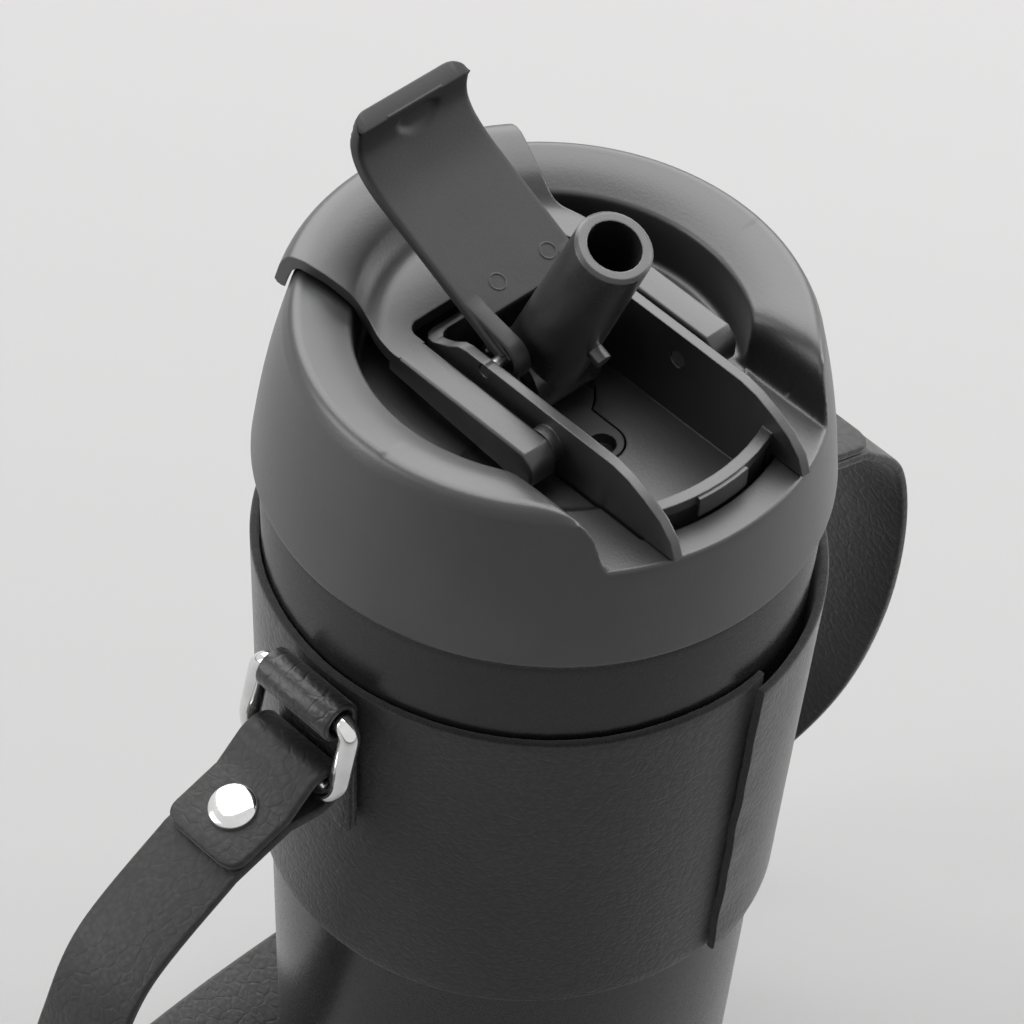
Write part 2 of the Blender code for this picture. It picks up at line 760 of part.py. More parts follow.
def build_housing():
    back = TROUGH_BACK + TROUGH_WALL
    top = TROUGH_WALL_TOP
    nose = -TROUGH_NOSE
    side = [
        (back, BLOCK_BOTTOM),
        (back, top - 0.0036),
        (back - 0.0022, top - 0.0033),
        (back - 0.0054, top - 0.0018),
        (back - 0.0074, top - 0.0004),
        (back - 0.0090, top),
        (nose + 0.0131, top),
        (nose + 0.0100, top - 0.0006),
        (nose + 0.0068, top - 0.0019),
        (nose + 0.0034, top - 0.0037),
        (nose + 0.0011, top - 0.0061),
        (nose, EAR_FOOT),
        (WALL_FRONT, EAR_FOOT),
        (WALL_FRONT, FLOOR_UNDERSIDE),
        (LIP_CORNER_Y, FLOOR_UNDERSIDE),
        (LIP_CORNER_Y, BLOCK_BOTTOM),
    ]
    loop = [(y, lid(z)) for y, z in side]
    housing = prism(
        "spout_housing", [loop], "X", -2 * WALL_OUT, 2 * WALL_OUT, lid_plastic("spout_housing"))
    plan = [(-WALL_OUT, 2 * nose), (WALL_OUT, 2 * nose)]
    plan += arc(WALL_OUT - LID_WALL, back - LID_WALL, LID_WALL, 0, 90, 3)
    plan += arc(LID_WALL - WALL_OUT, back - LID_WALL, LID_WALL, 90, 180, 3)
    keep(housing, prism("housing_plan", [plan], "Z", LID_LEVEL, lid(2 * LID_HEIGHT)))
    flange_out = WALL_OUT + FLANGE_WIDTH
    flange_front = -math.sqrt(LIP_OUTER_RADIUS ** 2 - flange_out ** 2)
    flange = block(
        "housing_flange", (-flange_out, flange_front, lid(FLANGE_TOP - FLANGE_THICKNESS)),
        (flange_out, back + FLANGE_WIDTH, lid(FLANGE_TOP)))
    seat = prism(
        "pocket_boss",
        [pad_outline(BOOT_RADIUS + SEAT_GAP + TROUGH_WALL, PAD_RADIUS + SEAT_GAP + TROUGH_WALL)],
        "Z", lid(POCKET_BOTTOM), lid(BLOCK_BOTTOM + PART_GAP))
    stem_out = PORT_RADIUS + STEM_WALL
    stem = rod(
        "stem", (0.0, PORT_Y, lid(STEM_BOTTOM)), (0.0, PORT_Y, lid(POCKET_BOTTOM + PART_GAP)),
        stem_out)
    join(housing, flange, seat, stem)
    for sign in SIDES.values():
        root = (sign * (WALL_OUT - PART_GAP), HANDLE_PIVOT_Y, lid(HANDLE_PIVOT_HEIGHT))
        end = (sign * (ARM_INNER - SEAT_GAP), HANDLE_PIVOT_Y, lid(HANDLE_PIVOT_HEIGHT))
        join(housing, rod("pin_boss", root, end, BOSS_RADIUS))

    hollow = [(-TROUGH_HALF_WIDTH, nose - LID_WALL), (TROUGH_HALF_WIDTH, nose - LID_WALL)]
    hollow += arc(TROUGH_HALF_WIDTH - LID_WALL, TROUGH_BACK - LID_WALL, LID_WALL, 0, 90, 3)
    hollow += arc(LID_WALL - TROUGH_HALF_WIDTH, TROUGH_BACK - LID_WALL, LID_WALL, 90, 180, 3)
    cut(housing, prism("trough", [hollow], "Z", lid(TROUGH_FLOOR), lid(LID_HEIGHT + LID_WALL)))

    lip_floor = lid(BLOCK_BOTTOM)
    lip_profile = [
        (LIP_INNER_RADIUS, lid(LIP_TOP)),
        (LIP_OUTER_RADIUS + LIP_OVERHANG, lid(LIP_TOP)),
        (LIP_OUTER_RADIUS + LIP_OVERHANG, lid(LIP_TOP - LIP_EDGE)),
        (LIP_OUTER_RADIUS, lid(LIP_TOP - LIP_EDGE) - LIP_OVERHANG),
        (LIP_OUTER_RADIUS, lip_floor),
        (0.0, lip_floor),
        (0.0, lid(TROUGH_FLOOR)),
        (LIP_INNER_RADIUS, lid(TROUGH_FLOOR)),
    ]
    lip = turned("front_lip", lip_profile, steps=LID_STEPS)
    inner_face = TROUGH_HALF_WIDTH + TROUGH_WALL / 2
    keep(lip, block(
        "lip_span", (-inner_face, -LID_RADIUS, lid(0.0)),
        (inner_face, PEG_REST_Y, lid(LID_HEIGHT))))
    latch_out = LIP_OUTER_RADIUS + LIP_OVERHANG + LATCH_STEP
    latch_arc = math.degrees(math.asin(LATCH_HALF_WIDTH / latch_out))
    catch = arc(0.0, 0.0, latch_out, -90 - latch_arc, -90 + latch_arc, 4)
    catch += arc(0.0, 0.0, LIP_OUTER_RADIUS - LIP_WALL / 2, -90 + latch_arc, -90 - latch_arc, 4)
    latch = prism("latch", [catch], "Z", lid(EAR_FOOT), lid(LIP_TOP - LIP_OVERHANG / 2))
    join(housing, lip, latch)

    cut(housing, prism(
        "boot_pocket", [pad_outline(BOOT_RADIUS + SEAT_GAP, PAD_RADIUS + SEAT_GAP)],
        "Z", lid(POCKET_FLOOR), lid(TROUGH_FLOOR + PART_GAP)))
    cut(housing, rod(
        "port", (0.0, PORT_Y, lid(STEM_BOTTOM) - LID_WALL), (0.0, PORT_Y, lid(POCKET_FLOOR) + LID_WALL),
        PORT_RADIUS))
    reach = ARM_INNER + LID_WALL
    for name, y, height, radius in (
            ("spout_bearing", SPOUT_PIVOT_Y, SPOUT_PIVOT_HEIGHT, TRUNNION_RADIUS),
            ("handle_bearing", HANDLE_PIVOT_Y, HANDLE_PIVOT_HEIGHT, HANDLE_PIN_RADIUS),
            ("cap_bearing", HINGE_Y, HINGE_HEIGHT, HINGE_PIN_RADIUS)):
        cut(housing, rod(name, (-reach, y, lid(height)), (reach, y, lid(height)), radius + PIN_GAP))


# Spout, boot and pins

FOLDED_REACH = math.sqrt(LIP_INNER_RADIUS ** 2 - SPOUT_MOUTH_RADIUS ** 2)
SPOUT_LENGTH = FOLDED_REACH + SPOUT_PIVOT_Y - PART_GAP


def build_spout():
    """Built upright about its pivot, then leaned forwards."""
    lip = PART_GAP
    profile = [
        (0.0, SPOUT_LENGTH),
        (SPOUT_MOUTH_RADIUS - lip, SPOUT_LENGTH),
        (SPOUT_MOUTH_RADIUS, SPOUT_LENGTH - lip),
        (SPOUT_BASE_RADIUS, PEG_OUT / 2),
        (SPOUT_BASE_RADIUS, 0.0),
        (0.0, 0.0),
    ]
    spout = turned("spout", profile, lid_plastic("spout"), steps=32, closed=False)
    barrel = rod("barrel", (-BARREL_HALF_WIDTH, 0, 0), (BARREL_HALF_WIDTH, 0, 0), BARREL_RADIUS, None, 32)
    trunnion_end = TROUGH_HALF_WIDTH + TROUGH_WALL - SEAT_GAP
    trunnion = rod("trunnion", (-trunnion_end, 0, 0), (trunnion_end, 0, 0), TRUNNION_RADIUS)
    peg = rod(
        "peg", (0, -SPOUT_BORE - PART_GAP, PEG_OUT), (0, -SPOUT_BASE_RADIUS - PEG_LENGTH, PEG_OUT),
        PEG_RADIUS, None, 16)
    join(spout, barrel, trunnion, peg)
    bore = rod("spout_bore", (0, 0, -2 * BARREL_RADIUS), (0, 0, SPOUT_LENGTH + LID_WALL), SPOUT_BORE)
    cut(spout, bore)
    pivot = Matrix.Translation((0.0, SPOUT_PIVOT_Y, lid(SPOUT_PIVOT_HEIGHT)))
    lean = pivot @ Matrix.Rotation(SPOUT_LEAN, 4, "X")
    for item in (spout, barrel, trunnion, peg, bore):
        item.matrix_world = lean


def build_boot():
    pad_top = lid(TROUGH_FLOOR)
    base = lid(POCKET_FLOOR + SEAT_GAP)
    pivot_level = lid(SPOUT_PIVOT_HEIGHT)
    boot = rod(
        "spout_boot", (0.0, SPOUT_PIVOT_Y, base), (0.0, SPOUT_PIVOT_Y, pivot_level),
        BOOT_RADIUS, silicone("spout_boot"), 32)
    pad_half = arc(0.0, PEG_REST_Y, PAD_RADIUS, -90, 0, 6) + [(PAD_RADIUS, SPOUT_PIVOT_Y)]
    pad = prism("vent_pad", [mirrored(pad_half)], "Z", base + FLUSH, pad_top + FLUSH)
    ear_end = BOOT_RADIUS - SEAT_GAP
    ears = rod(
        "boot_ears", (-ear_end, SPOUT_PIVOT_Y, pivot_level), (ear_end, SPOUT_PIVOT_Y, pivot_level),
        EAR_RADIUS, None, 24)
    join(boot, pad, ears)
    inner = BARREL_HALF_WIDTH + SEAT_GAP
    reach = 2 * BOOT_RADIUS
    seat_drop = min(1.0, (pivot_level - pad_top) / (BARREL_RADIUS + SEAT_GAP))
    seat_low = -math.degrees(math.acos(seat_drop))
    seat = [(-reach, pivot_level + reach), (-reach, pad_top)]
    seat += arc(SPOUT_PIVOT_Y, pivot_level, BARREL_RADIUS + SEAT_GAP, seat_low - 90, 0, 10)
    seat.append((SPOUT_PIVOT_Y + BARREL_RADIUS + SEAT_GAP, pivot_level + reach))
    opening = prism("boot_opening", [seat], "X", -inner, inner)
    trunnion = rod(
        "ear_holes", (-2 * BOOT_RADIUS, SPOUT_PIVOT_Y, pivot_level),
        (2 * BOOT_RADIUS, SPOUT_PIVOT_Y, pivot_level), TRUNNION_RADIUS + PIN_GAP)
    port = rod(
        "boot_port", (0.0, PORT_Y, base - LID_WALL), (0.0, PORT_Y, pivot_level), PORT_RADIUS - PART_GAP)
    peg_y = PEG_REST_Y - PART_GAP
    dimple = rod(
        "dimple", (0.0, peg_y, lid(SPOUT_PIVOT_HEIGHT) - SPOUT_BASE_RADIUS - PEG_LENGTH - PART_GAP),
        (0.0, peg_y, pivot_level), PEG_RADIUS + 1.5 * PART_GAP, None, 16)
    cut(boot, opening, trunnion, port, dimple)


def build_pins():
    for side, sign in SIDES.items():
        level = lid(HANDLE_PIVOT_HEIGHT)
        name = "handle_pin_" + side
        start = (sign * (TROUGH_HALF_WIDTH + PIN_GAP), HANDLE_PIVOT_Y, level)
        end = (sign * (ARM_OUTER - TROUGH_WALL), HANDLE_PIVOT_Y, level)
        rod(name, start, end, HANDLE_PIN_RADIUS, bare_steel(name), 16)
        level = lid(HINGE_HEIGHT)
        name = "cap_pin_" + side
        start = (sign * (CHEEK_INNER + PIN_GAP), HINGE_Y, level)
        end = (sign * (WALL_OUT - PIN_GAP), HINGE_Y, level)
        rod(name, start, end, HINGE_PIN_RADIUS, bare_steel(name), 16)


# Flip cap

CAP_INNER = SPOUT_PIVOT_HEIGHT + SPOUT_BASE_RADIUS + PART_GAP - HINGE_HEIGHT
LIP_REACH = LIP_OUTER_RADIUS + LIP_OVERHANG + LATCH_STEP + HINGE_Y
LIP_RISE = LIP_TOP - HINGE_HEIGHT
CAP_FOOT = EAR_FOOT + SEAT_GAP - HINGE_HEIGHT


def build_cap():
    """Built closed about its hinge, (forwards, up), then opened."""
    top = CAP_INNER + CAP_THICKNESS
    bend = LIP_REACH - 0.0056
    inner = [
        (LIP_REACH + 0.0012, CAP_FOOT),
        (LIP_REACH + 0.0009, CAP_FOOT + 0.0023),
        (LIP_REACH + 0.0004, LIP_RISE + 0.0007),
        (LIP_REACH - 0.0026, CAP_INNER - 0.0006),
        (bend, CAP_INNER),
        (0.0, CAP_INNER),
    ]
    outer = [
        (0.0, top),
        (bend + 0.0006, top),
        (bend + 0.0036, top - 0.0008),
        (LIP_REACH + 0.0006, top - 0.0025),
        (LIP_REACH + 0.0021, top - 0.0051),
        (LIP_REACH + 0.0027, CAP_FOOT + 0.0014),
        (LIP_REACH + 0.0028 + CAP_FLANGE, CAP_FOOT + 0.0010),
        (LIP_REACH + 0.0028 + CAP_FLANGE, CAP_FOOT),
    ]
    outline = [(-u, w) for u, w in inner + outer]
    wide = CAP_HALF_WIDTH + LID_WALL
    cap = prism("flip_cap", [outline], "X", -wide, wide, lid_plastic("flip_cap"))
    tip = LIP_REACH + 0.0028 + CAP_FLANGE
    corner = 0.0030
    plan = [(CAP_HALF_WIDTH, LOBE_RADIUS), (CAP_HALF_WIDTH, -tip + corner)]
    plan += arc(CAP_HALF_WIDTH - corner, -tip + corner, corner, -15, -90, 4)
    plan = [(-u, v) for u, v in plan] + list(reversed(plan))
    trim = prism("cap_plan", [plan], "Z", -2 * CAP_HALF_WIDTH, CAP_HALF_WIDTH)
    keep(cap, trim)
    tools = [trim]

    reach = math.hypot(LOBE_REACH, CAP_INNER)
    lean = math.atan2(CAP_INNER, LOBE_REACH)
    touch = math.acos(LOBE_RADIUS / reach)
    low = math.degrees(math.pi - lean + touch)
    high = 360 + math.degrees(math.asin(LOBE_CROWN / LOBE_RADIUS))
    lobe = arc(0.0, 0.0, LOBE_RADIUS, low, high, 12)
    lobe += [(-LOBE_CROWN, LOBE_CROWN), (-LOBE_REACH / 2, top - FLUSH), (-LOBE_REACH, top - FLUSH)]
    for sign in SIDES.values():
        ends = sorted((sign * CHEEK_INNER, sign * CHEEK_OUTER))
        cheek = prism("cheek", [lobe], "X", ends[0], ends[1])
        join(cap, cheek)
        tools.append(cheek)
    notch = block(
        "cap_notch", (FLUSH - CHEEK_INNER, -CAP_CUT_BACK, -2 * LOBE_RADIUS),
        (CHEEK_INNER - FLUSH, 2 * LOBE_RADIUS, 2 * LOBE_RADIUS))
    hole = rod("cap_hole", (-LID_RADIUS, 0, 0), (LID_RADIUS, 0, 0), HINGE_PIN_RADIUS + PIN_GAP, None, 16)
    cut(cap, notch, hole)
    hinge = Matrix.Translation((0.0, HINGE_Y, lid(HINGE_HEIGHT)))
    opened = hinge @ Matrix.Rotation(-CAP_OPEN, 4, "X")
    for item in [cap, notch, hole] + tools:
        item.matrix_world = opened


# Carry handle

def build_handle():
    top = lid(HANDLE_TOP)
    plate = lid(HANDLE_TOP - HANDLE_PLATE)
    rise = LID_HEIGHT + PART_GAP + HANDLE_PLATE
    slope_top = RING_INNER_RADIUS
    ring_gap = PART_GAP
    crest = RING_TOP_RADIUS + ring_gap
    tab_out = lid_side(LID_HEIGHT - HANDLE_TAB_DROP) + ring_gap + HANDLE_PLATE
    tab_low = lid(LID_HEIGHT - HANDLE_TAB_DROP)
    section = [
        (0.0, top),
        (HANDLE_SLOPE_RADIUS, top),
        (slope_top - 0.0020, lid(RING_INNER_HEIGHT) + HANDLE_PLATE - 0.0002),
        (slope_top + 0.0008, lid(RING_INNER_HEIGHT) + HANDLE_PLATE + ring_gap + 0.0004),
        (crest - 0.0010, lid(rise)),
        (crest + HANDLE_PLATE * 0.6, lid(rise - 0.0006)),
        (tab_out - 0.0002, lid(LID_HEIGHT)),
        (tab_out + 0.0004, tab_low),
        (tab_out - HANDLE_PLATE + 0.0002, tab_low),
        (lid_side(LID_HEIGHT - RIM_ROUND) + ring_gap, lid(LID_HEIGHT - RIM_ROUND)),
        (RING_TOP_RADIUS - RIM_ROUND / 2, lid(LID_HEIGHT) + ring_gap),
        (RING_INNER_RADIUS - ring_gap, lid(RING_INNER_HEIGHT) + ring_gap),
        (RECESS_RADIUS - 2 * ring_gap, plate),
        (0.0, plate),
    ]
    form = turned("handle_form", section, steps=LID_STEPS, closed=False)
    window = HANDLE_WINDOW_BACK
    shoulder = ARM_OUTER - HANDLE_WAIST
    front = HANDLE_PIVOT_Y - ARM_NOSE - LID_WALL
    half = [
        (ARM_INNER, front),
        (ARM_OUTER, front),
        (ARM_OUTER, window - 0.0022),
        (ARM_OUTER - shoulder * 0.4, window + 0.0010),
        (HANDLE_WAIST, window + 0.0040),
        (HANDLE_WAIST, window + 0.0068),
        (HANDLE_WAIST + 0.0012, window + 0.0110),
        (HANDLE_TAB_HALF_WIDTH - 0.0008, window + 0.0160),
        (HANDLE_TAB_HALF_WIDTH, window + 0.0220),
    ]
    inside = arc(ARM_INNER - LID_WALL, window - LID_WALL, LID_WALL, 0, 90, 3)
    outline = half + [(HANDLE_TAB_HALF_WIDTH, LID_RADIUS + LID_WALL)]
    outline += [(-HANDLE_TAB_HALF_WIDTH, LID_RADIUS + LID_WALL)]
    outline += [(-u, v) for u, v in reversed(half)]
    outline += [(-u, v) for u, v in inside] + list(reversed(inside))
    keep(form, block(
        "handle_rear", (-2 * LID_RADIUS, HANDLE_PIVOT_Y / 2, LID_LEVEL),
        (2 * LID_RADIUS, 2 * LID_RADIUS, lid(2 * LID_HEIGHT))))
    nose = HANDLE_PIVOT_Y - ARM_NOSE
    low = top - ARM_DEPTH
    arm = [
        (window - LID_WALL, low + 0.0010),
        (window - LID_WALL, top + FLUSH),
        (nose + 0.0016, top + FLUSH),
        (nose, top - 0.0018),
        (nose, low + 0.0022),
        (nose + 0.0018, low),
        (window - 2 * LID_WALL, low),
    ]
    for sign in SIDES.values():
        ends = sorted((sign * (ARM_INNER - LID_WALL), sign * (ARM_OUTER + LID_WALL)))
        join(form, prism("handle_arm", [arm], "X", ends[0], ends[1]))
    handle = prism(
        "carry_handle", [outline], "Z", low - HANDLE_PLATE, lid(rise + HANDLE_PLATE),
        lid_plastic("carry_handle"))
    keep(handle, form)
    bearing = rod(
        "handle_bore", (-LID_RADIUS, HANDLE_PIVOT_Y, lid(HANDLE_PIVOT_HEIGHT)),
        (LID_RADIUS, HANDLE_PIVOT_Y, lid(HANDLE_PIVOT_HEIGHT)), HANDLE_PIN_RADIUS + PIN_GAP)
    reach = ARM_OUTER - TROUGH_WALL + PIN_GAP
    keep(bearing, block(
        "bore_span", (-reach, 2 * HANDLE_PIVOT_Y, lid(0.0)), (reach, 0.0, lid(LID_HEIGHT))))
    cut(handle, bearing)
    pivot = (0.0, HANDLE_PIVOT_Y, lid(HANDLE_PIVOT_HEIGHT))
    set_origin(handle, pivot)
    return handle


# Liner, gasket and straw

def build_liner():
    flange_top = lid(FLOOR_UNDERSIDE - SEAT_GAP)
    flange_low = flange_top - LINER_FLANGE
    inner = PLUG_RADIUS - LINER_WALL
    profile = [
        (inner, flange_top),
        (LINER_FLANGE_RADIUS, flange_top),
        (LINER_FLANGE_RADIUS, flange_low),
        (PLUG_RADIUS, flange_low),
        (PLUG_RADIUS - LINER_WALL / 3, LID_LEVEL + LINER_FLOOR),
        (PLUG_RADIUS - LINER_FLOOR, LID_LEVEL),
        (0.0, LID_LEVEL),
        (0.0, LID_LEVEL + LINER_FLOOR),
        (inner - LINER_WALL / 3, LID_LEVEL + LINER_FLOOR),
    ]
    liner = turned("lid_liner", profile, lid_plastic("lid_liner"), INNER_STEPS)
    hole = PORT_RADIUS + STEM_WALL + SEAT_GAP
    cut(liner, rod(
        "stem_hole", (0.0, PORT_Y, LID_LEVEL - LID_WALL), (0.0, PORT_Y, LID_LEVEL + 2 * LID_WALL), hole))
    rim = NECK_TOP + SEAT_GAP + STEEL + SEAT_GAP
    gasket = [
        (PLUG_RADIUS + PIN_GAP, flange_low - SEAT_GAP),
        (LINER_FLANGE_RADIUS, flange_low - SEAT_GAP),
        (LINER_FLANGE_RADIUS, rim),
        (PLUG_RADIUS + PIN_GAP, rim),
    ]
    turned("lid_gasket", gasket, silicone("lid_gasket"), INNER_STEPS)
    top = lid(POCKET_FLOOR - TROUGH_FLOOR_THICKNESS)
    foot = CUP_FLOOR + STEEL + STRAW_FOOT_SPACE
    bore = STRAW_RADIUS - STRAW_WALL
    tube = [(bore, top), (STRAW_RADIUS, top), (STRAW_RADIUS, foot), (bore, foot)]
    straw = turned("straw", tube, clear_plastic("straw"), steps=16)
    straw.location = (0.0, PORT_Y, 0.0)


build_body()
build_sleeve()
for SIDE, SIGN in SIDES.items():
    build_tab(SIDE, SIGN)
    build_ring(SIDE, SIGN)
    build_rivet(SIDE, SIGN)
build_strap()
build_lid_shell()
build_housing()
build_spout()
build_boot()
build_pins()
build_cap()
build_handle()
build_liner()
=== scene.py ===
import json
import math

import bmesh
import bpy
from bpy.props import FloatProperty, FloatVectorProperty, PointerProperty
from mathutils import Matrix, Vector, noise


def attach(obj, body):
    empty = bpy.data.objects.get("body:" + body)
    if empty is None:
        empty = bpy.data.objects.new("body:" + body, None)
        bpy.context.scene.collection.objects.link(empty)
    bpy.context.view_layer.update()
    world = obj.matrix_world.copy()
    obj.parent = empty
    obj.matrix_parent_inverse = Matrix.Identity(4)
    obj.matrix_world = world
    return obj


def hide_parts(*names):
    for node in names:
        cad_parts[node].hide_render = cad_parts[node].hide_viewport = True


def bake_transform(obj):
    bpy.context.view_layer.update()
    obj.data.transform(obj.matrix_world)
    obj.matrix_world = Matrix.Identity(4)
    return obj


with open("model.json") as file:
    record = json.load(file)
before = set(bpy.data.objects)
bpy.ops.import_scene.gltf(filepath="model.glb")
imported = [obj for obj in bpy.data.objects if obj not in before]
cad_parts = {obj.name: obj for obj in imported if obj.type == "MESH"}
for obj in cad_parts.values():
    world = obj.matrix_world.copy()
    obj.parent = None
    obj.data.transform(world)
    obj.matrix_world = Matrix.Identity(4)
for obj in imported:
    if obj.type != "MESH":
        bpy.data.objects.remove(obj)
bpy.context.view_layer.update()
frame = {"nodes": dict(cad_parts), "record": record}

bl_info = {
    "name": "Double wall tumbler",
    "version": (1, 0, 0),
    "blender": (4, 5, 0),
    "location": "3D View > Sidebar > Tumbler",
    "description": "Dresses the packed tumbler and sets its studio stage",
    "category": "Object",
}

SLOT_COLOURS = {item["slot"]: item["base_color"] for item in frame["record"]["materials"]}

# Sizes in metres and angles in radians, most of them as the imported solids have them
SEAT_GAP = 0.0003
PIN_GAP = 0.00015
LID_LEVEL = 0.1580
BASE_RADIUS = 0.0338
SHOULDER_RADIUS = 0.0408
SHOULDER_LEVEL = 0.1570
SLEEVE_TOP = 0.1420
SLEEVE_HEIGHT = 0.0600
SLEEVE_LEATHER = 0.0013
FLAP_ANGLE = math.radians(3.0)
FLAP_FADE = math.radians(60.0)
LAP_ANGLE = math.radians(4.0)
ROLL_LEVEL = SLEEVE_TOP - 0.0027
ROLL_RADIUS = 0.0032
TAB_WIDTH = 0.0147
TAB_LEATHER = 0.0010
TAB_LEG = 0.0250
BAR_CORNER = 0.0019
RING_HALF_WIDTH = 0.0094
RING_DROP = 0.0132
BOW_CORNER = 0.0040
RING_TILT = math.radians(11.5)
STRAP_PULL = math.radians(-18.0)
FOLD_SHIFT = 0.0004
TAIL_LENGTH = 0.0180
TAIL_ROUND = 0.0026
RIVET_OUT = 0.0108
RIVET_DOME = 0.0013
HINGE = Vector((0.0, 0.0003, 0.1826))
CAP_OPEN = math.radians(155.0)
CAP_HALF_WIDTH = 0.0104
CAP_CUT_BACK = 0.0058
CHEEK_INNER = 0.0073
CHEEK_OUTER = 0.0100
LOBE_RADIUS = 0.0034
LOBE_REACH = 0.0095
NECK_RADIUS = 0.0372
LID_THREAD_RADIUS = 0.03955
THREAD_TURNS = 1.6
THREAD_PITCH = 0.0028
LID_RADIUS = 0.0420
LID_HEIGHT = 0.0269
RING_TOP_RADIUS = 0.0373
RECESS_RADIUS = 0.0274
RECESS_HEIGHT = 0.0164
RECESS_EDGE = 0.0262
RECESS_FILLET = 0.0012
CREST_RADIUS = 0.0357
CREST_HEIGHT = 0.0250
CREST_ROUND = 0.00175
RIM_ROUND = 0.0007
LID_WALL = 0.0022
CHANNEL_HALF_WIDTH = 0.0218
CHANNEL_END_ROUND = 0.0062
CHANNEL_EDGE_ROUND = 0.0016
SLOT_HALF_WIDTH = 0.0135
SLOT_BACK = 0.0133
SLOT_FRONT_RADIUS = 0.0347
HANDLE_PIVOT = Vector((0.0, -0.0130, 0.1789))
ARM_INNER = 0.0152
ARM_OUTER = 0.0200
ARM_DEPTH = 0.0060
ARM_NOSE = 0.0036
HANDLE_TOP = 0.0240
HANDLE_PLATE = 0.0020
WINDOW_BACK = 0.0142
WAIST = 0.0184
GRIP_TAB = 0.0220
SIDES = {"left": -1.0, "right": 1.0}

# The studio's lamps: name, place, width, height and watts
LAMPS = [
    ("lamp_back", (0.56, 0.64, 1.08), 1.90, 1.85, 33.0),
    ("lamp_right", (1.00, -0.42, 0.42), 0.60, 0.80, 6.5),
    ("lamp_left", (-0.85, 0.62, 0.50), 0.60, 0.80, 4.5),
]
LAMP_AIM = Vector((0.0, 0.0, 0.12))
AMBIENT = 0.06

# The camera's place and its axes, at the photograph's viewing angle
CAMERA_PLACE = Vector((-0.4039516, -0.3763814, 0.7157804))
CAMERA_RIGHT = Vector((0.7241510, -0.6876705, 0.0521022))
CAMERA_UP = Vector((0.4692524, 0.5466894, 0.6934932))
CAMERA_BACK = Vector((-0.5053786, -0.4777447, 0.7185767))

# Middle of the strap between its two folded ends, from the right ring to the left one,
# and how far its width turns up from level, in degrees
STRAP_ROUTE = [
    ((0.0730, 0.0000, 0.1110), 0),
    ((0.0748, -0.0010, 0.0960), 5),
    ((0.0750, 0.0010, 0.0760), 14),
    ((0.0742, 0.0070, 0.0540), 22),
    ((0.0690, 0.0160, 0.0340), 28),
    ((0.0560, 0.0270, 0.0170), 30),
    ((0.0350, 0.0370, 0.0075), 28),
    ((0.0100, 0.0420, 0.0052), 24),
    ((-0.0160, 0.0420, 0.0056), 24),
    ((-0.0420, 0.0370, 0.0120), 22),
    ((-0.0640, 0.0270, 0.0290), 18),
    ((-0.0790, 0.0150, 0.0520), 14),
    ((-0.0865, 0.0050, 0.0760), 8),
    ((-0.0870, 0.0005, 0.0950), 3),
    ((-0.0805, 0.0000, 0.1095), 0),
]


def body_radius(height):
    """Outer radius of the steel body."""
    return BASE_RADIUS + (SHOULDER_RADIUS - BASE_RADIUS) * height / SHOULDER_LEVEL


def sleeve_radius(height):
    """Outer radius of the sleeve's single layer."""
    return body_radius(height) + SEAT_GAP + SLEEVE_LEATHER


ROLL_OUT = sleeve_radius(ROLL_LEVEL) + SEAT_GAP + ROLL_RADIUS
BOW_OUT = ROLL_OUT + RING_DROP * math.sin(RING_TILT)
BOW_LEVEL = ROLL_LEVEL - RING_DROP * math.cos(RING_TILT)


def length(name, description, size, low, high):
    """A length that the panel shows."""
    return FloatProperty(
        name=name, description=description, default=size, min=low, max=high,
        subtype="DISTANCE", unit="LENGTH")


def paint(name, description, colour):
    """A colour that the panel shows."""
    return FloatVectorProperty(
        name=name, description=description, default=colour, size=3, min=0.0, max=1.0,
        subtype="COLOR")


class SleeveSettings(bpy.types.PropertyGroup):
    """Sizes and colour of the leather sleeve"""
    grain: length("Grain size", "Width of one grain cell of the leather", 0.0009, 0.0003, 0.004)
    lift_top: length(
        "Flap lift, top", "How far the seam's flap stands off at its upper end", 0.0022, 0.0005, 0.005)
    lift_bottom: length(
        "Flap lift, bottom", "How far the seam's flap stands off at its lower end", 0.0014, 0.0005, 0.005)
    colour: paint("Leather", "Colour of the sleeve, tabs and strap", SLOT_COLOURS["leather"])


class CarrySettings(bpy.types.PropertyGroup):
    """Sizes of the rings, rivets and strap"""
    wire_radius: length("Ring wire", "Radius of the rings' wire", 0.0016, 0.001, 0.002)
    strap_width: length("Strap width", "Width of the carry strap", 0.0150, 0.008, 0.018)
    strap_thickness: length("Strap thickness", "Thickness of the carry strap", 0.0016, 0.001, 0.003)
    rivet_radius: length("Rivet head", "Radius of the rivets' heads", 0.0037, 0.002, 0.005)
    chrome: paint("Chrome", "Colour of the rings and rivets", SLOT_COLOURS["chrome"])


class LidSettings(bpy.types.PropertyGroup):
    """Colours of the lid and the steel body"""
    plastic: paint("Lid plastic", "Colour of the lid, cap and handle", SLOT_COLOURS["lid_plastic"])
    spout: paint("Spout plastic", "Colour of the drinking spout", SLOT_COLOURS["spout_plastic"])
    silicone: paint("Silicone", "Colour of the boot and the gasket", SLOT_COLOURS["silicone"])
    coat: paint("Powder coat", "Colour of the body's coat", SLOT_COLOURS["powder_coat"])
    edge: length("Edge softness", "Radius that moulded edges appear to have", 0.00035, 0.0, 0.001)


class StageSettings(bpy.types.PropertyGroup):
    """Floor, backdrop and camera"""
    floor: paint("Floor", "Colour of the floor", (0.55, 0.544, 0.544))
    backdrop: paint("Backdrop", "Colour that the surround shows and reflects", (0.80, 0.795, 0.79))
    lens: FloatProperty(
        name="Lens", description="Focal length of the camera, in millimetres",
        default=193.359375, min=20.0, max=400.0)


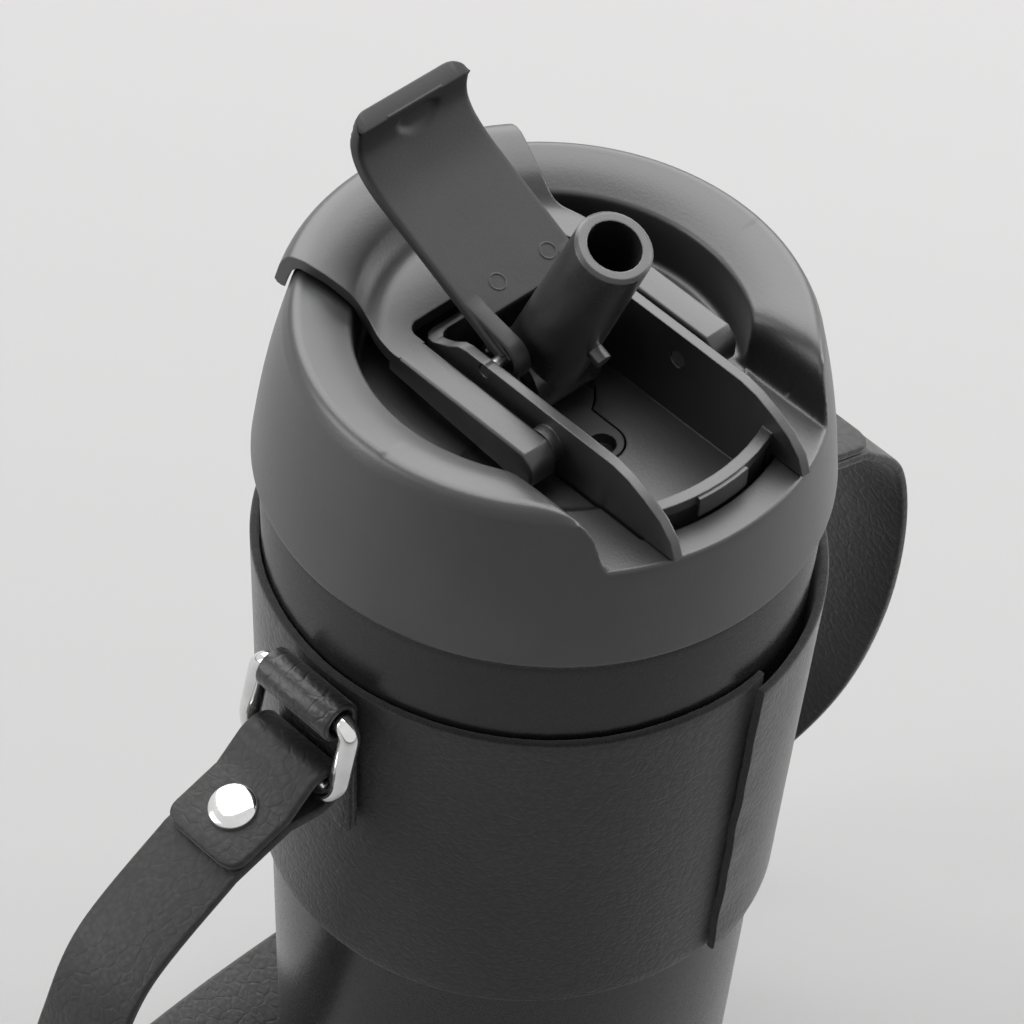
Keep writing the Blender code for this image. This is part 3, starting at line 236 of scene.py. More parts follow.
class Field:
    """A shader socket that takes part in ordinary arithmetic."""

    def __init__(self, finish, socket):
        self.finish = finish
        self.socket = socket

    def math(self, operation, first, second=0.0):
        return self.finish.add(
            "ShaderNodeMath", {"operation": operation}, {0: first, 1: second})

    def __add__(self, other):
        return self.math("ADD", self, other)

    def __sub__(self, other):
        return self.math("SUBTRACT", self, other)

    def __rsub__(self, other):
        return self.math("SUBTRACT", other, self)

    def __mul__(self, other):
        return self.math("MULTIPLY", self, other)

    __radd__ = __add__
    __rmul__ = __mul__

    def between(self, low, high, start=0.0, end=1.0):
        """The value read as a smooth step from start to end."""
        return self.finish.add(
            "ShaderNodeMapRange", {"interpolation_type": "SMOOTHSTEP"},
            {"Value": self, "From Min": low, "From Max": high, "To Min": start, "To Max": end})


class Finish:
    """A material with one principled shader, and the nodes that feed it."""

    def __init__(self, name, **constants):
        self.material = bpy.data.materials.new(name)
        self.material.use_nodes = True
        self.tree = self.material.node_tree
        self.shader = self.tree.nodes["Principled BSDF"]
        for socket, value in constants.items():
            self.shader.inputs[socket.replace("_", " ")].default_value = value

    def add(self, kind, settings, values, output=0):
        """Adds a node, sets it, fills its sockets and returns one of its outputs."""
        node = self.tree.nodes.new(kind)
        for name, value in settings.items():
            setattr(node, name, value)
        for name, value in values.items():
            self.feed(node, name, value)
        return Field(self, node.outputs[output])

    def feed(self, node, name, value):
        """Links a field to a node's socket, or sets the socket to a value."""
        if isinstance(value, Field):
            self.tree.links.new(value.socket, node.inputs[name])
        else:
            node.inputs[name].default_value = value

    def place(self, stretch=(1.0, 1.0, 1.0), source="Object"):
        """Texture coordinates, in metres."""
        coordinates = self.add("ShaderNodeTexCoord", {}, {}, source)
        return self.add(
            "ShaderNodeVectorMath", {"operation": "MULTIPLY"}, {0: coordinates, 1: stretch})

    def noise(self, place, size, detail=2.0, roughness=0.5):
        """Soft noise whose features are about as large as size."""
        return self.add(
            "ShaderNodeTexNoise", {},
            {"Vector": place, "Scale": 1.0 / size, "Detail": detail, "Roughness": roughness})

    def cells(self, place, size, feature="F1"):
        """Cells about as wide as size."""
        return self.add(
            "ShaderNodeTexVoronoi", {"feature": feature}, {"Vector": place, "Scale": 1.0 / size})

    def mix(self, share, first, second):
        """A colour between two colours."""
        colours = []
        for value in (first, second):
            colours.append(value if isinstance(value, Field) else (*value[:3], 1.0))
        return self.add(
            "ShaderNodeMix", {"data_type": "RGBA"}, {0: share, 6: colours[0], 7: colours[1]}, 2)

    def bump(self, height, depth, strength=1.0, normal=None):
        """Normals that a height of the given depth, in metres, gives."""
        values = {"Height": height, "Distance": depth, "Strength": strength}
        if normal is not None:
            values["Normal"] = normal
        return self.add("ShaderNodeBump", {}, values)

    def rounded(self, radius):
        """Normals of edges rounded to a radius."""
        return self.add("ShaderNodeBevel", {"samples": 4}, {"Radius": radius})

    def edges(self, rounded):
        """One along sharp edges and none on flat faces."""
        plain = self.add("ShaderNodeNewGeometry", {}, {}, "Normal")
        alike = self.add(
            "ShaderNodeVectorMath", {"operation": "DOT_PRODUCT"}, {0: rounded, 1: plain}, "Value")
        return (1.0 - alike).between(0.02, 0.25)

    def finish(self, **sockets):
        """Feeds the shader's sockets and returns the material."""
        for name, value in sockets.items():
            self.feed(self.shader, name.replace("_", " "), value)
        return self.material


def shade(colour, factor):
    """A colour made lighter or darker by a factor."""
    return tuple(min(1.0, part * factor) for part in colour)


def moulded(name, colour, edge, roughness=0.40, spark=0.00022, depth=0.000030, gloss=0.95):
    """Moulded plastic with a fine spark texture and slightly burnished edges."""
    finish = Finish(name, Specular_IOR_Level=gloss)
    place = finish.place()
    cloud = finish.noise(place, 0.012, 3.0)
    grit = finish.noise(place, spark, 2.0, 0.6)
    specks = finish.cells(place, spark * 2.2)
    rounded = finish.rounded(edge)
    rub = finish.edges(rounded) * cloud.between(0.3, 0.7, 0.4, 1.0)
    tone = finish.mix(cloud.between(0.3, 0.7), shade(colour, 1.15), shade(colour, 1.5))
    tone = finish.mix(grit.between(0.55, 0.8, 0.0, 0.35), tone, shade(colour, 2.8))
    tone = finish.mix(rub * 0.5, tone, shade(colour, 4.0))
    rough = grit * 0.14 + cloud * 0.06 + (roughness - 0.13) - rub * 0.10
    height = grit * 0.7 + specks * 0.5
    return finish.finish(
        Base_Color=tone, Roughness=rough, Normal=finish.bump(height, depth, 0.6, rounded))


def powder_coat(colour):
    """Matte powder coat with a fine orange peel."""
    finish = Finish("matte_coat", Specular_IOR_Level=0.5)
    place = finish.place()
    peel = finish.noise(place, 0.0011, 2.0)
    dust = finish.noise(place, 0.0003, 2.0, 0.6)
    cloud = finish.noise(place, 0.03, 3.0)
    rounded = finish.rounded(0.0004)
    tone = finish.mix(cloud.between(0.3, 0.7), shade(colour, 0.9), shade(colour, 1.12))
    tone = finish.mix(dust.between(0.58, 0.8, 0.0, 0.25), tone, shade(colour, 2.0))
    return finish.finish(
        Base_Color=tone, Roughness=cloud * 0.06 + dust * 0.08 + 0.20,
        Normal=finish.bump(peel + dust * 0.35, 0.00004, 0.5, rounded))


def brushed_steel():
    """Brushed stainless steel, its lines running round the axis."""
    finish = Finish("brushed_steel", Metallic=1.0)
    lines = finish.noise(finish.place((60.0, 60.0, 9000.0)), 1.0, 3.0, 0.7)
    cloud = finish.noise(finish.place(), 0.02, 3.0)
    colour = SLOT_COLOURS["bare_steel"]
    tone = finish.mix(lines, shade(colour, 0.82), shade(colour, 1.12))
    return finish.finish(
        Base_Color=tone, Roughness=lines * 0.14 + cloud * 0.08 + 0.20,
        Normal=finish.bump(lines, 0.00001, 0.35))


def chrome_plate(colour):
    """Polished chrome with faint handling marks."""
    finish = Finish("chrome", Metallic=1.0)
    place = finish.place()
    smear = finish.noise(place, 0.004, 4.0, 0.6)
    fine = finish.noise(finish.place((1.0, 6.0, 1.0)), 0.0004, 2.0)
    tone = finish.mix(smear.between(0.35, 0.7), shade(colour, 0.94), shade(colour, 1.08))
    return finish.finish(
        Base_Color=tone, Roughness=smear.between(0.4, 0.75, 0.05, 0.14),
        Normal=finish.bump(fine, 0.000004, 0.25))


def leather(name, colour, grain, roughness, depth, source="Object", gloss=0.0, dust=0.3):
    """Fine-grained artificial leather."""
    finish = Finish(name, Specular_IOR_Level=0.5, Sheen_Weight=0.4, Sheen_Roughness=0.35)
    place = finish.place(source=source)
    warp = finish.noise(place, grain * 3.0, 2.0)
    bent = finish.add(
        "ShaderNodeVectorMath", {"operation": "MULTIPLY_ADD"},
        {0: finish.add("ShaderNodeTexNoise", {}, {"Vector": place, "Scale": 0.5 / grain}, "Color"),
         1: (grain * 0.7,) * 3, 2: place})
    pebble = finish.cells(bent, grain)
    crease = finish.cells(bent, grain * 2.3, "DISTANCE_TO_EDGE").between(0.0, 0.12)
    pore = finish.noise(place, grain * 0.25, 2.0, 0.6)
    cloud = finish.noise(place, 0.016, 4.0, 0.55)
    rounded = finish.rounded(0.0003)
    rub = finish.edges(rounded)
    tone = finish.mix(cloud.between(0.3, 0.7), shade(colour, 0.8), shade(colour, 1.3))
    # Painted shade: the colour darkens towards each pebble's edge, down in the grain's low valleys where
    # shade falls
    tone = finish.mix(pebble.between(0.25, 0.7, 0.0, 0.45), tone, shade(colour, 0.45))
    tone = finish.mix(pore.between(0.6, 0.8, 0.0, dust), tone, shade(colour, 4.0))
    tone = finish.mix(rub * 0.4, tone, shade(colour, 3.0))
    height = (1.0 - pebble) * 0.6 + crease * 0.35 + pore * 0.22 + warp * 0.2
    rough = pebble * 0.14 + cloud * 0.1 + (roughness - 0.1)
    return finish.finish(
        Base_Color=tone, Roughness=rough, Coat_Weight=gloss,
        Normal=finish.bump(height, depth, 0.8, rounded))


def raw_edge(colour):
    """Cut edge of the leather, with its fibres showing."""
    finish = Finish("raw_edge", Specular_IOR_Level=0.2, Sheen_Weight=0.35, Sheen_Roughness=0.6)
    place = finish.place()
    fibre = finish.noise(finish.place((1.0, 1.0, 0.25)), 0.00025, 3.0, 0.7)
    patch = finish.noise(place, 0.002, 3.0)
    tone = finish.mix(fibre.between(0.35, 0.7), shade(colour, 0.7), shade(colour, 3.4))
    tone = finish.mix(patch.between(0.4, 0.7, 0.0, 0.4), tone, shade(colour, 1.2))
    return finish.finish(
        Base_Color=tone, Roughness=fibre * 0.1 + 0.85,
        Normal=finish.bump(fibre + patch * 0.5, 0.00012, 0.8))


def clear_plastic():
    """Translucent plastic of the straw."""
    finish = Finish("clear_plastic", Transmission_Weight=0.75, IOR=1.46)
    haze = finish.noise(finish.place((1.0, 1.0, 0.1)), 0.001, 3.0)
    colour = SLOT_COLOURS["clear_plastic"]
    tone = finish.mix(haze, shade(colour, 0.94), shade(colour, 1.2))
    return finish.finish(
        Base_Color=tone, Roughness=haze * 0.12 + 0.16, Normal=finish.bump(haze, 0.00002, 0.3))


def stage_paint(colour):
    """Seamless paper of the stage."""
    finish = Finish("stage_paper", Specular_IOR_Level=0.1)
    fibre = finish.noise(finish.place(), 0.004, 3.0)
    tone = finish.mix(fibre, shade(colour, 0.995), shade(colour, 1.005))
    return finish.finish(Base_Color=tone, Roughness=fibre * 0.05 + 0.8)


def arc(x, y, radius, start, end, steps):
    """Points on an arc, with its angles in degrees."""
    points = []
    for index in range(steps + 1):
        angle = math.radians(start + (end - start) * index / steps)
        points.append((x + radius * math.cos(angle), y + radius * math.sin(angle)))
    return points


def smooth_path(points, samples):
    """A smooth curve through the points."""
    result = []
    last = len(points) - 1
    for index in range(last):
        before, start = points[max(index - 1, 0)], points[index]
        end, after = points[index + 1], points[min(index + 2, last)]
        for step in range(samples):
            t = step / samples
            result.append(0.5 * (
                2 * start + (end - before) * t
                + (2 * before - 5 * start + 4 * end - after) * t ** 2
                + (3 * start - before - 3 * end + after) * t ** 3))
    result.append(points[last])
    return result


def rounded_section(width, thickness, corner, steps=4):
    """Outline of a rounded bar as (across, up)."""
    points = []
    for x, y, start in ((1, 1, 0), (-1, 1, 90), (-1, -1, 180), (1, -1, 270)):
        points += arc(
            x * (width / 2 - corner), y * (thickness / 2 - corner), corner, start, start + 90, steps)
    return points


def smooth_outline(points, samples):
    """A smooth curve through points of an outline, as pairs."""
    return [tuple(point) for point in smooth_path([Vector(pair) for pair in points], samples)]


def put_in_scene(name, data):
    """An object for a mesh or a lamp, linked to the scene."""
    item = bpy.data.objects.new(name, data)
    bpy.context.scene.collection.objects.link(item)
    return item


def make_object(name, mesh, material):
    """A smooth-shaded object with its material."""
    item = put_in_scene(name, mesh)
    mesh.materials.append(material)
    mesh.shade_smooth()
    return item


def closed_mesh(name, verts, faces):
    """A mesh with its faces turned outwards."""
    mesh = bpy.data.meshes.new(name)
    mesh.from_pydata(verts, [], faces)
    outward(mesh)
    return mesh


def outward(mesh):
    """Turns a closed mesh's faces outwards."""
    work = bmesh.new()
    work.from_mesh(mesh)
    bmesh.ops.remove_doubles(work, verts=work.verts, dist=1e-7)
    bmesh.ops.recalc_face_normals(work, faces=work.faces)
    work.to_mesh(mesh)
    work.free()


def sweep(name, path, sections, material, closed=False):
    """A bar along a path of (place, width direction), with one outline for each place."""
    count = len(path)
    size = len(sections[0])
    verts = []
    lengths = [0.0]
    for index, (place, wide) in enumerate(path):
        after = path[(index + 1) % count][0] if closed or index < count - 1 else place
        before = path[index - 1][0] if closed or index else place
        along = (after - before).normalized()
        across = (wide - along * wide.dot(along)).normalized()
        up = along.cross(across)
        verts += [place + across * u + up * v for u, v in sections[index]]
        if index:
            lengths.append(lengths[-1] + (place - path[index - 1][0]).length)
    faces = []
    uvs = []
    for index in range(count if closed else count - 1):
        here, there = index * size, ((index + 1) % count) * size
        for corner in range(size):
            after = (corner + 1) % size
            faces.append((here + corner, here + after, there + after, there + corner))
            step = index + 1 if index + 1 < count else index
            start, end = lengths[index], lengths[step]
            pair = (sections[index][corner], sections[index][after])
            flat = [u + abs(v) for u, v in pair]
            uvs += [(start, flat[0]), (start, flat[1]), (end, flat[1]), (end, flat[0])]
    if not closed:
        for ring in (range(size), range(count * size - size, count * size)):
            faces.append(tuple(ring))
            uvs += [(0.0, 0.0)] * size
    mesh = bpy.data.meshes.new(name)
    mesh.from_pydata(verts, [], faces)
    layer = mesh.uv_layers.new(name="metres")
    for loop, uv in zip(layer.data, uvs):
        loop.uv = uv
    outward(mesh)
    return make_object(name, mesh, material)


def lathe(name, profile, steps, material, matrix=None):
    """A turned piece from (radius, height) points, the first and the last on its axis."""
    verts = []
    for step in range(steps):
        angle = math.tau * step / steps
        turn = (math.cos(angle), math.sin(angle))
        verts += [(radius * turn[0], radius * turn[1], height) for radius, height in profile]
    item = make_object(name, closed_mesh(name, verts, revolved(steps, len(profile))), material)
    if matrix is not None:
        item.data.transform(matrix)
    return item


def inset(loop, depth):
    """A closed outline moved inwards by a depth, its points listed anticlockwise."""
    result = []
    count = len(loop)
    for index, (x, y) in enumerate(loop):
        before, after = loop[index - 1], loop[(index + 1) % count]
        along = Vector((after[0] - before[0], after[1] - before[1])).normalized()
        result.append((x - along.y * depth, y + along.x * depth))
    return result


def bridged(pairs, size, sides):
    """Faces between pairs of outlines of one size, round as many of their sides."""
    faces = []
    for first, second in pairs:
        here, there = first * size, second * size
        for corner in range(sides):
            after = (corner + 1) % size
            faces.append((here + corner, here + after, there + after, there + corner))
    return faces


def neighbours(count):
    """Each outline of a row with the one after it."""
    return [(index, index + 1) for index in range(count - 1)]


def revolved(steps, size):
    """Faces between the steps of an open outline that is turned once round."""
    return bridged(neighbours(steps) + [(steps - 1, 0)], size, size - 1)


def loft(columns):
    """Faces that join equal closed outlines, with both ends closed."""
    size = len(columns[0])
    verts = [point for column in columns for point in column]
    ends = [tuple(range(size)), tuple(range(len(verts) - size, len(verts)))]
    return verts, ends + bridged(neighbours(len(columns)), size, size)


def merged(parts):
    """One list of points and one of faces from several."""
    verts, faces = [], []
    for points, polygons in parts:
        start = len(verts)
        verts += points
        faces += [tuple(start + index for index in polygon) for polygon in polygons]
    return verts, faces


def prism(name, loop, low, high):
    """An upright closed form over an outline of (x, y), to cut with."""
    verts, faces = loft([[(x, y, level) for x, y in loop] for level in (low, high)])
    return put_in_scene(name, closed_mesh(name, verts, faces))


def apply_cut(item, tool, operation="DIFFERENCE"):
    """Cuts a piece with a closed form and removes the form."""
    change = item.modifiers.new("cut", "BOOLEAN")
    change.operation = operation
    change.solver = "EXACT"
    change.object = tool
    bpy.context.view_layer.update()
    shaped = item.evaluated_get(bpy.context.evaluated_depsgraph_get())
    mesh = bpy.data.meshes.new_from_object(shaped)
    item.modifiers.clear()
    item.data = mesh
    bpy.data.objects.remove(tool)
    if len(mesh.polygons) < 100:
        raise RuntimeError(item.name + " was lost in a cut")


def split_edges(item, angle):
    """Keeps edges sharper than an angle in degrees crisp in the shading."""
    split = item.modifiers.new("crease", "EDGE_SPLIT")
    split.split_angle = math.radians(angle)


def crisp(item, angle):
    """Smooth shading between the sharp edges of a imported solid."""
    item.data.shade_smooth()
    weld = item.modifiers.new("weld", "WELD")
    weld.merge_threshold = 1e-6
    split_edges(item, angle)


def dress(names, material, angle=34):
    """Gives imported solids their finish."""
    for name in names:
        node = frame["nodes"][name]
        node.data.materials.clear()
        node.data.materials.append(material)
        for face in node.data.polygons:
            face.material_index = 0
        custom = node.data.attributes.get("custom_normal")
        if custom is not None:
            node.data.attributes.remove(custom)
        crisp(node, angle)


class TUMBLER_OT_body(bpy.types.Operator):
    """Coat the steel body and finish the bare steel"""
    bl_idname = "tumbler.body"
    bl_label = "Steel body"

    def execute(self, context):
        dress(["outer_wall", "base_plate"], powder_coat(context.scene.tumbler_lid.coat))
        steel = brushed_steel()
        pins = ["cap_pin_left", "cap_pin_right", "handle_pin_left", "handle_pin_right"]
        dress(["inner_wall"] + pins, steel)
        return {"FINISHED"}


class TUMBLER_OT_lid(bpy.types.Operator):
    """Finish the moulded lid, its cap, handle, spout and seals"""
    bl_idname = "tumbler.lid"
    bl_label = "Moulded lid"

    def execute(self, context):
        lid = context.scene.tumbler_lid
        plastic = moulded("moulded_plastic", lid.plastic, lid.edge)
        dress(["lid_shell"], plastic, 30)
        dress(["lid_liner", "spout_housing", "flip_cap", "carry_handle"], plastic)
        satin = moulded("satin_plastic", lid.spout, lid.edge, 0.33, 0.0005, 0.000012)
        dress(["spout"], satin)
        rubber = moulded("silicone_skin", lid.silicone, lid.edge, 0.55, 0.0004, 0.00002)
        dress(["spout_boot", "lid_gasket"], rubber)
        dress(["straw"], clear_plastic())
        return {"FINISHED"}


def lid_side(height):
    """Outer radius of the lid's convex side."""
    share = height / LID_HEIGHT
    bulge = 0.0006 * math.sin(math.pi * share)
    return LID_RADIUS + (RING_TOP_RADIUS - LID_RADIUS) * share + bulge


def channel_height(x):
    """Height that the front channel leaves over a place across the lid."""
    out = abs(x) - CHANNEL_HALF_WIDTH
    floor = RECESS_HEIGHT + 0.0001
    tall = LID_HEIGHT + 0.0004 - floor
    if out <= -0.0006:
        return floor
    if out < 0.0003:
        return floor + tall * 0.30 * ((out + 0.0006) / 0.0009) ** 2
    share = min(1.0, (out - 0.0003) / (CHANNEL_END_ROUND - 0.0003))
    rise = floor + tall * (0.30 + 0.70 * math.sqrt(1.0 - (1.0 - share) ** 2))
    return rise + (0.01 * (out - CHANNEL_END_ROUND) if out > CHANNEL_END_ROUND else 0.0)


def soft_min(first, second, blend):
    """The lower of two heights, with the edge between them rounded."""
    near = max(blend - abs(first - second), 0.0) / blend
    return min(first, second) - near * near * blend * 0.25


class TUMBLER_OT_shell(bpy.types.Operator):
    """Mould the lid's ring, recess and front channel"""
    bl_idname = "tumbler.shell"
    bl_label = "Lid shell"

    def execute(self, context):
        outside = [(RECESS_EDGE * index / 10, RECESS_HEIGHT) for index in range(1, 10)]
        outside += arc(RECESS_EDGE, RECESS_HEIGHT + RECESS_FILLET, RECESS_FILLET, -90, 0, 6)
        outside += [(0.02755 + 0.0006 * index / 8, 0.0176 + 0.0060 * index / 8) for index in range(1, 8)]
        outside += arc(0.0292, 0.0236, 0.0010, 175, 108, 5)
        start = outside[-1]
        for index in range(1, 14):
            share = index / 14
            outside.append((
                start[0] + (CREST_RADIUS - start[0]) * share,
                start[1] + (CREST_HEIGHT + CREST_ROUND - start[1]) * share
                + 0.00035 * math.sin(math.pi * share)))
        outside += arc(CREST_RADIUS, CREST_HEIGHT, CREST_ROUND, 94, 18, 8)
        for index in range(1, 36):
            height = 0.0252 - (0.0252 - 0.0008) * index / 35
            outside.append((lid_side(height), height))
        outside += arc(lid_side(RIM_ROUND) - RIM_ROUND, RIM_ROUND, RIM_ROUND, -10, -90, 4)
        inside = [(LID_RADIUS - LID_WALL, 0.0)]
        for index in range(1, 14):
            height = 0.0235 * index / 14
            inside.append((lid_side(height) - LID_WALL, height))
        inside += [(0.0345, 0.0242), (0.0320, 0.0234), (0.0309, 0.0224), (0.0302, 0.0180)]
        inside += [(RECESS_RADIUS + LID_WALL, RECESS_HEIGHT - LID_WALL)]
        inside += [(0.0296 * index / 8, RECESS_HEIGHT - LID_WALL) for index in range(7, 0, -1)]
        steps = 620
        verts = []
        for step in range(steps):
            angle = math.tau * step / steps
            turn = Vector((math.sin(angle), -math.cos(angle), 0.0))
            for skin, thickness in ((outside, 0.0), (inside, LID_WALL)):
                for radius, height in skin:
                    x, y = turn.x * radius, turn.y * radius
                    if y < -0.004 and height > 0.004:
                        channel = channel_height(x) - thickness
                        height = soft_min(height, channel, CHANNEL_EDGE_ROUND)
                    verts.append((x, y, LID_LEVEL + height))
        size = len(outside) + len(inside)
        faces = revolved(steps, size)
        faces.append(tuple(step * size for step in range(steps)))
        faces.append(tuple(step * size + size - 1 for step in range(steps)))
        mesh = closed_mesh("moulded_shell", verts, faces)
        item = make_object("moulded_shell", mesh, bpy.data.materials["moulded_plastic"])
        reach = math.degrees(math.asin(SLOT_HALF_WIDTH / SLOT_FRONT_RADIUS))
        slot = arc(0.0, 0.0, SLOT_FRONT_RADIUS, -90 - reach, -90 + reach, 24)
        slot += arc(SLOT_HALF_WIDTH - LID_WALL, SLOT_BACK - LID_WALL, LID_WALL, 0, 90, 8)
        slot += arc(LID_WALL - SLOT_HALF_WIDTH, SLOT_BACK - LID_WALL, LID_WALL, 90, 180, 8)
        apply_cut(item, prism("slot", slot, LID_LEVEL + 0.001, LID_LEVEL + 0.04))
        split_edges(item, 48)
        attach(item, "lid")
        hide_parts("lid_shell")
        return {"FINISHED"}


class TUMBLER_OT_handle(bpy.types.Operator):
    """Mould the carry handle, from its arms over the ring to its rear tab"""
    bl_idname = "tumbler.handle"
    bl_label = "Carry handle"

    def execute(self, context):
        top = HANDLE_TOP
        under_top = HANDLE_TOP - HANDLE_PLATE
        over = [
            (0.0232, top), (0.0248, 0.02405), (0.0262, 0.0247), (0.0275, 0.0259), (0.0290, 0.0271),
            (0.0318, 0.0282), (0.0345, 0.0290), (0.0363, 0.0293), (0.0380, 0.0289),
            (0.0391, 0.0277), (0.03975, 0.0262), (0.0402, 0.0244), (0.0405, 0.0231)]
        under = [
            (0.0387, 0.0227), (0.0384, 0.0240), (0.0381, 0.0252), (0.0376, 0.0265),
            (0.0368, 0.0274), (0.0357, 0.02745), (0.0325, 0.0268), (0.0295, 0.0254),
            (0.0281, 0.0245), (0.0264, 0.0221), (0.0245, 0.0220)]
        profile = [(0.0, top), (0.010, top), (0.020, top)]
        profile += smooth_outline(over, 4)
        profile += [(0.0400, 0.0226), (0.0393, 0.0225)]
        profile += smooth_outline(under, 3)
        profile += [(0.020, under_top), (0.010, under_top), (0.0, under_top)]
        profile = [(radius, LID_LEVEL + height) for radius, height in profile]
        item = lathe("moulded_handle", profile, 300, bpy.data.materials["moulded_plastic"])
        window = WINDOW_BACK
        side = smooth_outline([
            (ARM_OUTER, window - 0.0040), (ARM_OUTER, window - 0.0022), (0.0194, window + 0.0010),
            (WAIST, window + 0.0040), (WAIST, window + 0.0068), (0.0196, window + 0.0110),
            (0.0212, window + 0.0160), (GRIP_TAB, window + 0.0220)], 5)
        inner = arc(ARM_INNER - LID_WALL, window - LID_WALL, LID_WALL, 0, 90, 8)
        outline = side + [(GRIP_TAB, 0.045), (-GRIP_TAB, 0.045)]
        outline += [(-u, v) for u, v in reversed(side)]
        outline += [(-ARM_INNER, window - 0.0040)] + [(-u, v) for u, v in inner]
        outline += list(reversed(inner)) + [(ARM_INNER, window - 0.0040)]
        form = prism("handle_plan", outline, LID_LEVEL + 0.010, LID_LEVEL + 0.045)
        apply_cut(item, form, "INTERSECT")
        verts, faces = merged([self.arm(sign) for sign in SIDES.values()])
        arms = put_in_scene("handle_arms", closed_mesh("handle_arms", verts, faces))
        apply_cut(item, arms, "UNION")
        item.data.shade_smooth()
        split_edges(item, 40)
        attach(item, "handle")
        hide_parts("carry_handle")
        return {"FINISHED"}

    def arm(self, sign):
        """One arm, lofted across its width with softened edges."""
        root = WINDOW_BACK - 0.0020
        nose = HANDLE_PIVOT.y - ARM_NOSE
        top = HANDLE_TOP
        low = top - ARM_DEPTH
        loop = [(root, low + 0.0022)] + arc(nose + 0.0018, low + 0.0018, 0.0018, 270, 190, 5)
        loop += [(nose, top - 0.0024), (nose + 0.0006, top - 0.0012), (nose + 0.0019, top)]
        loop += [(root, top)]
        loop.reverse()
        columns = []
        soft = 0.0005
        for degrees in (0, 30, 60, 90):
            angle = math.radians(degrees)
            columns.append((ARM_INNER + soft * (1 - math.cos(angle)), soft * (1 - math.sin(angle))))
        columns += [(ARM_INNER + ARM_OUTER - x, depth) for x, depth in reversed(columns)]
        result = []
        for x, depth in columns:
            result.append([(sign * x, y, LID_LEVEL + z) for y, z in inset(loop, depth)])
        return loft(result)


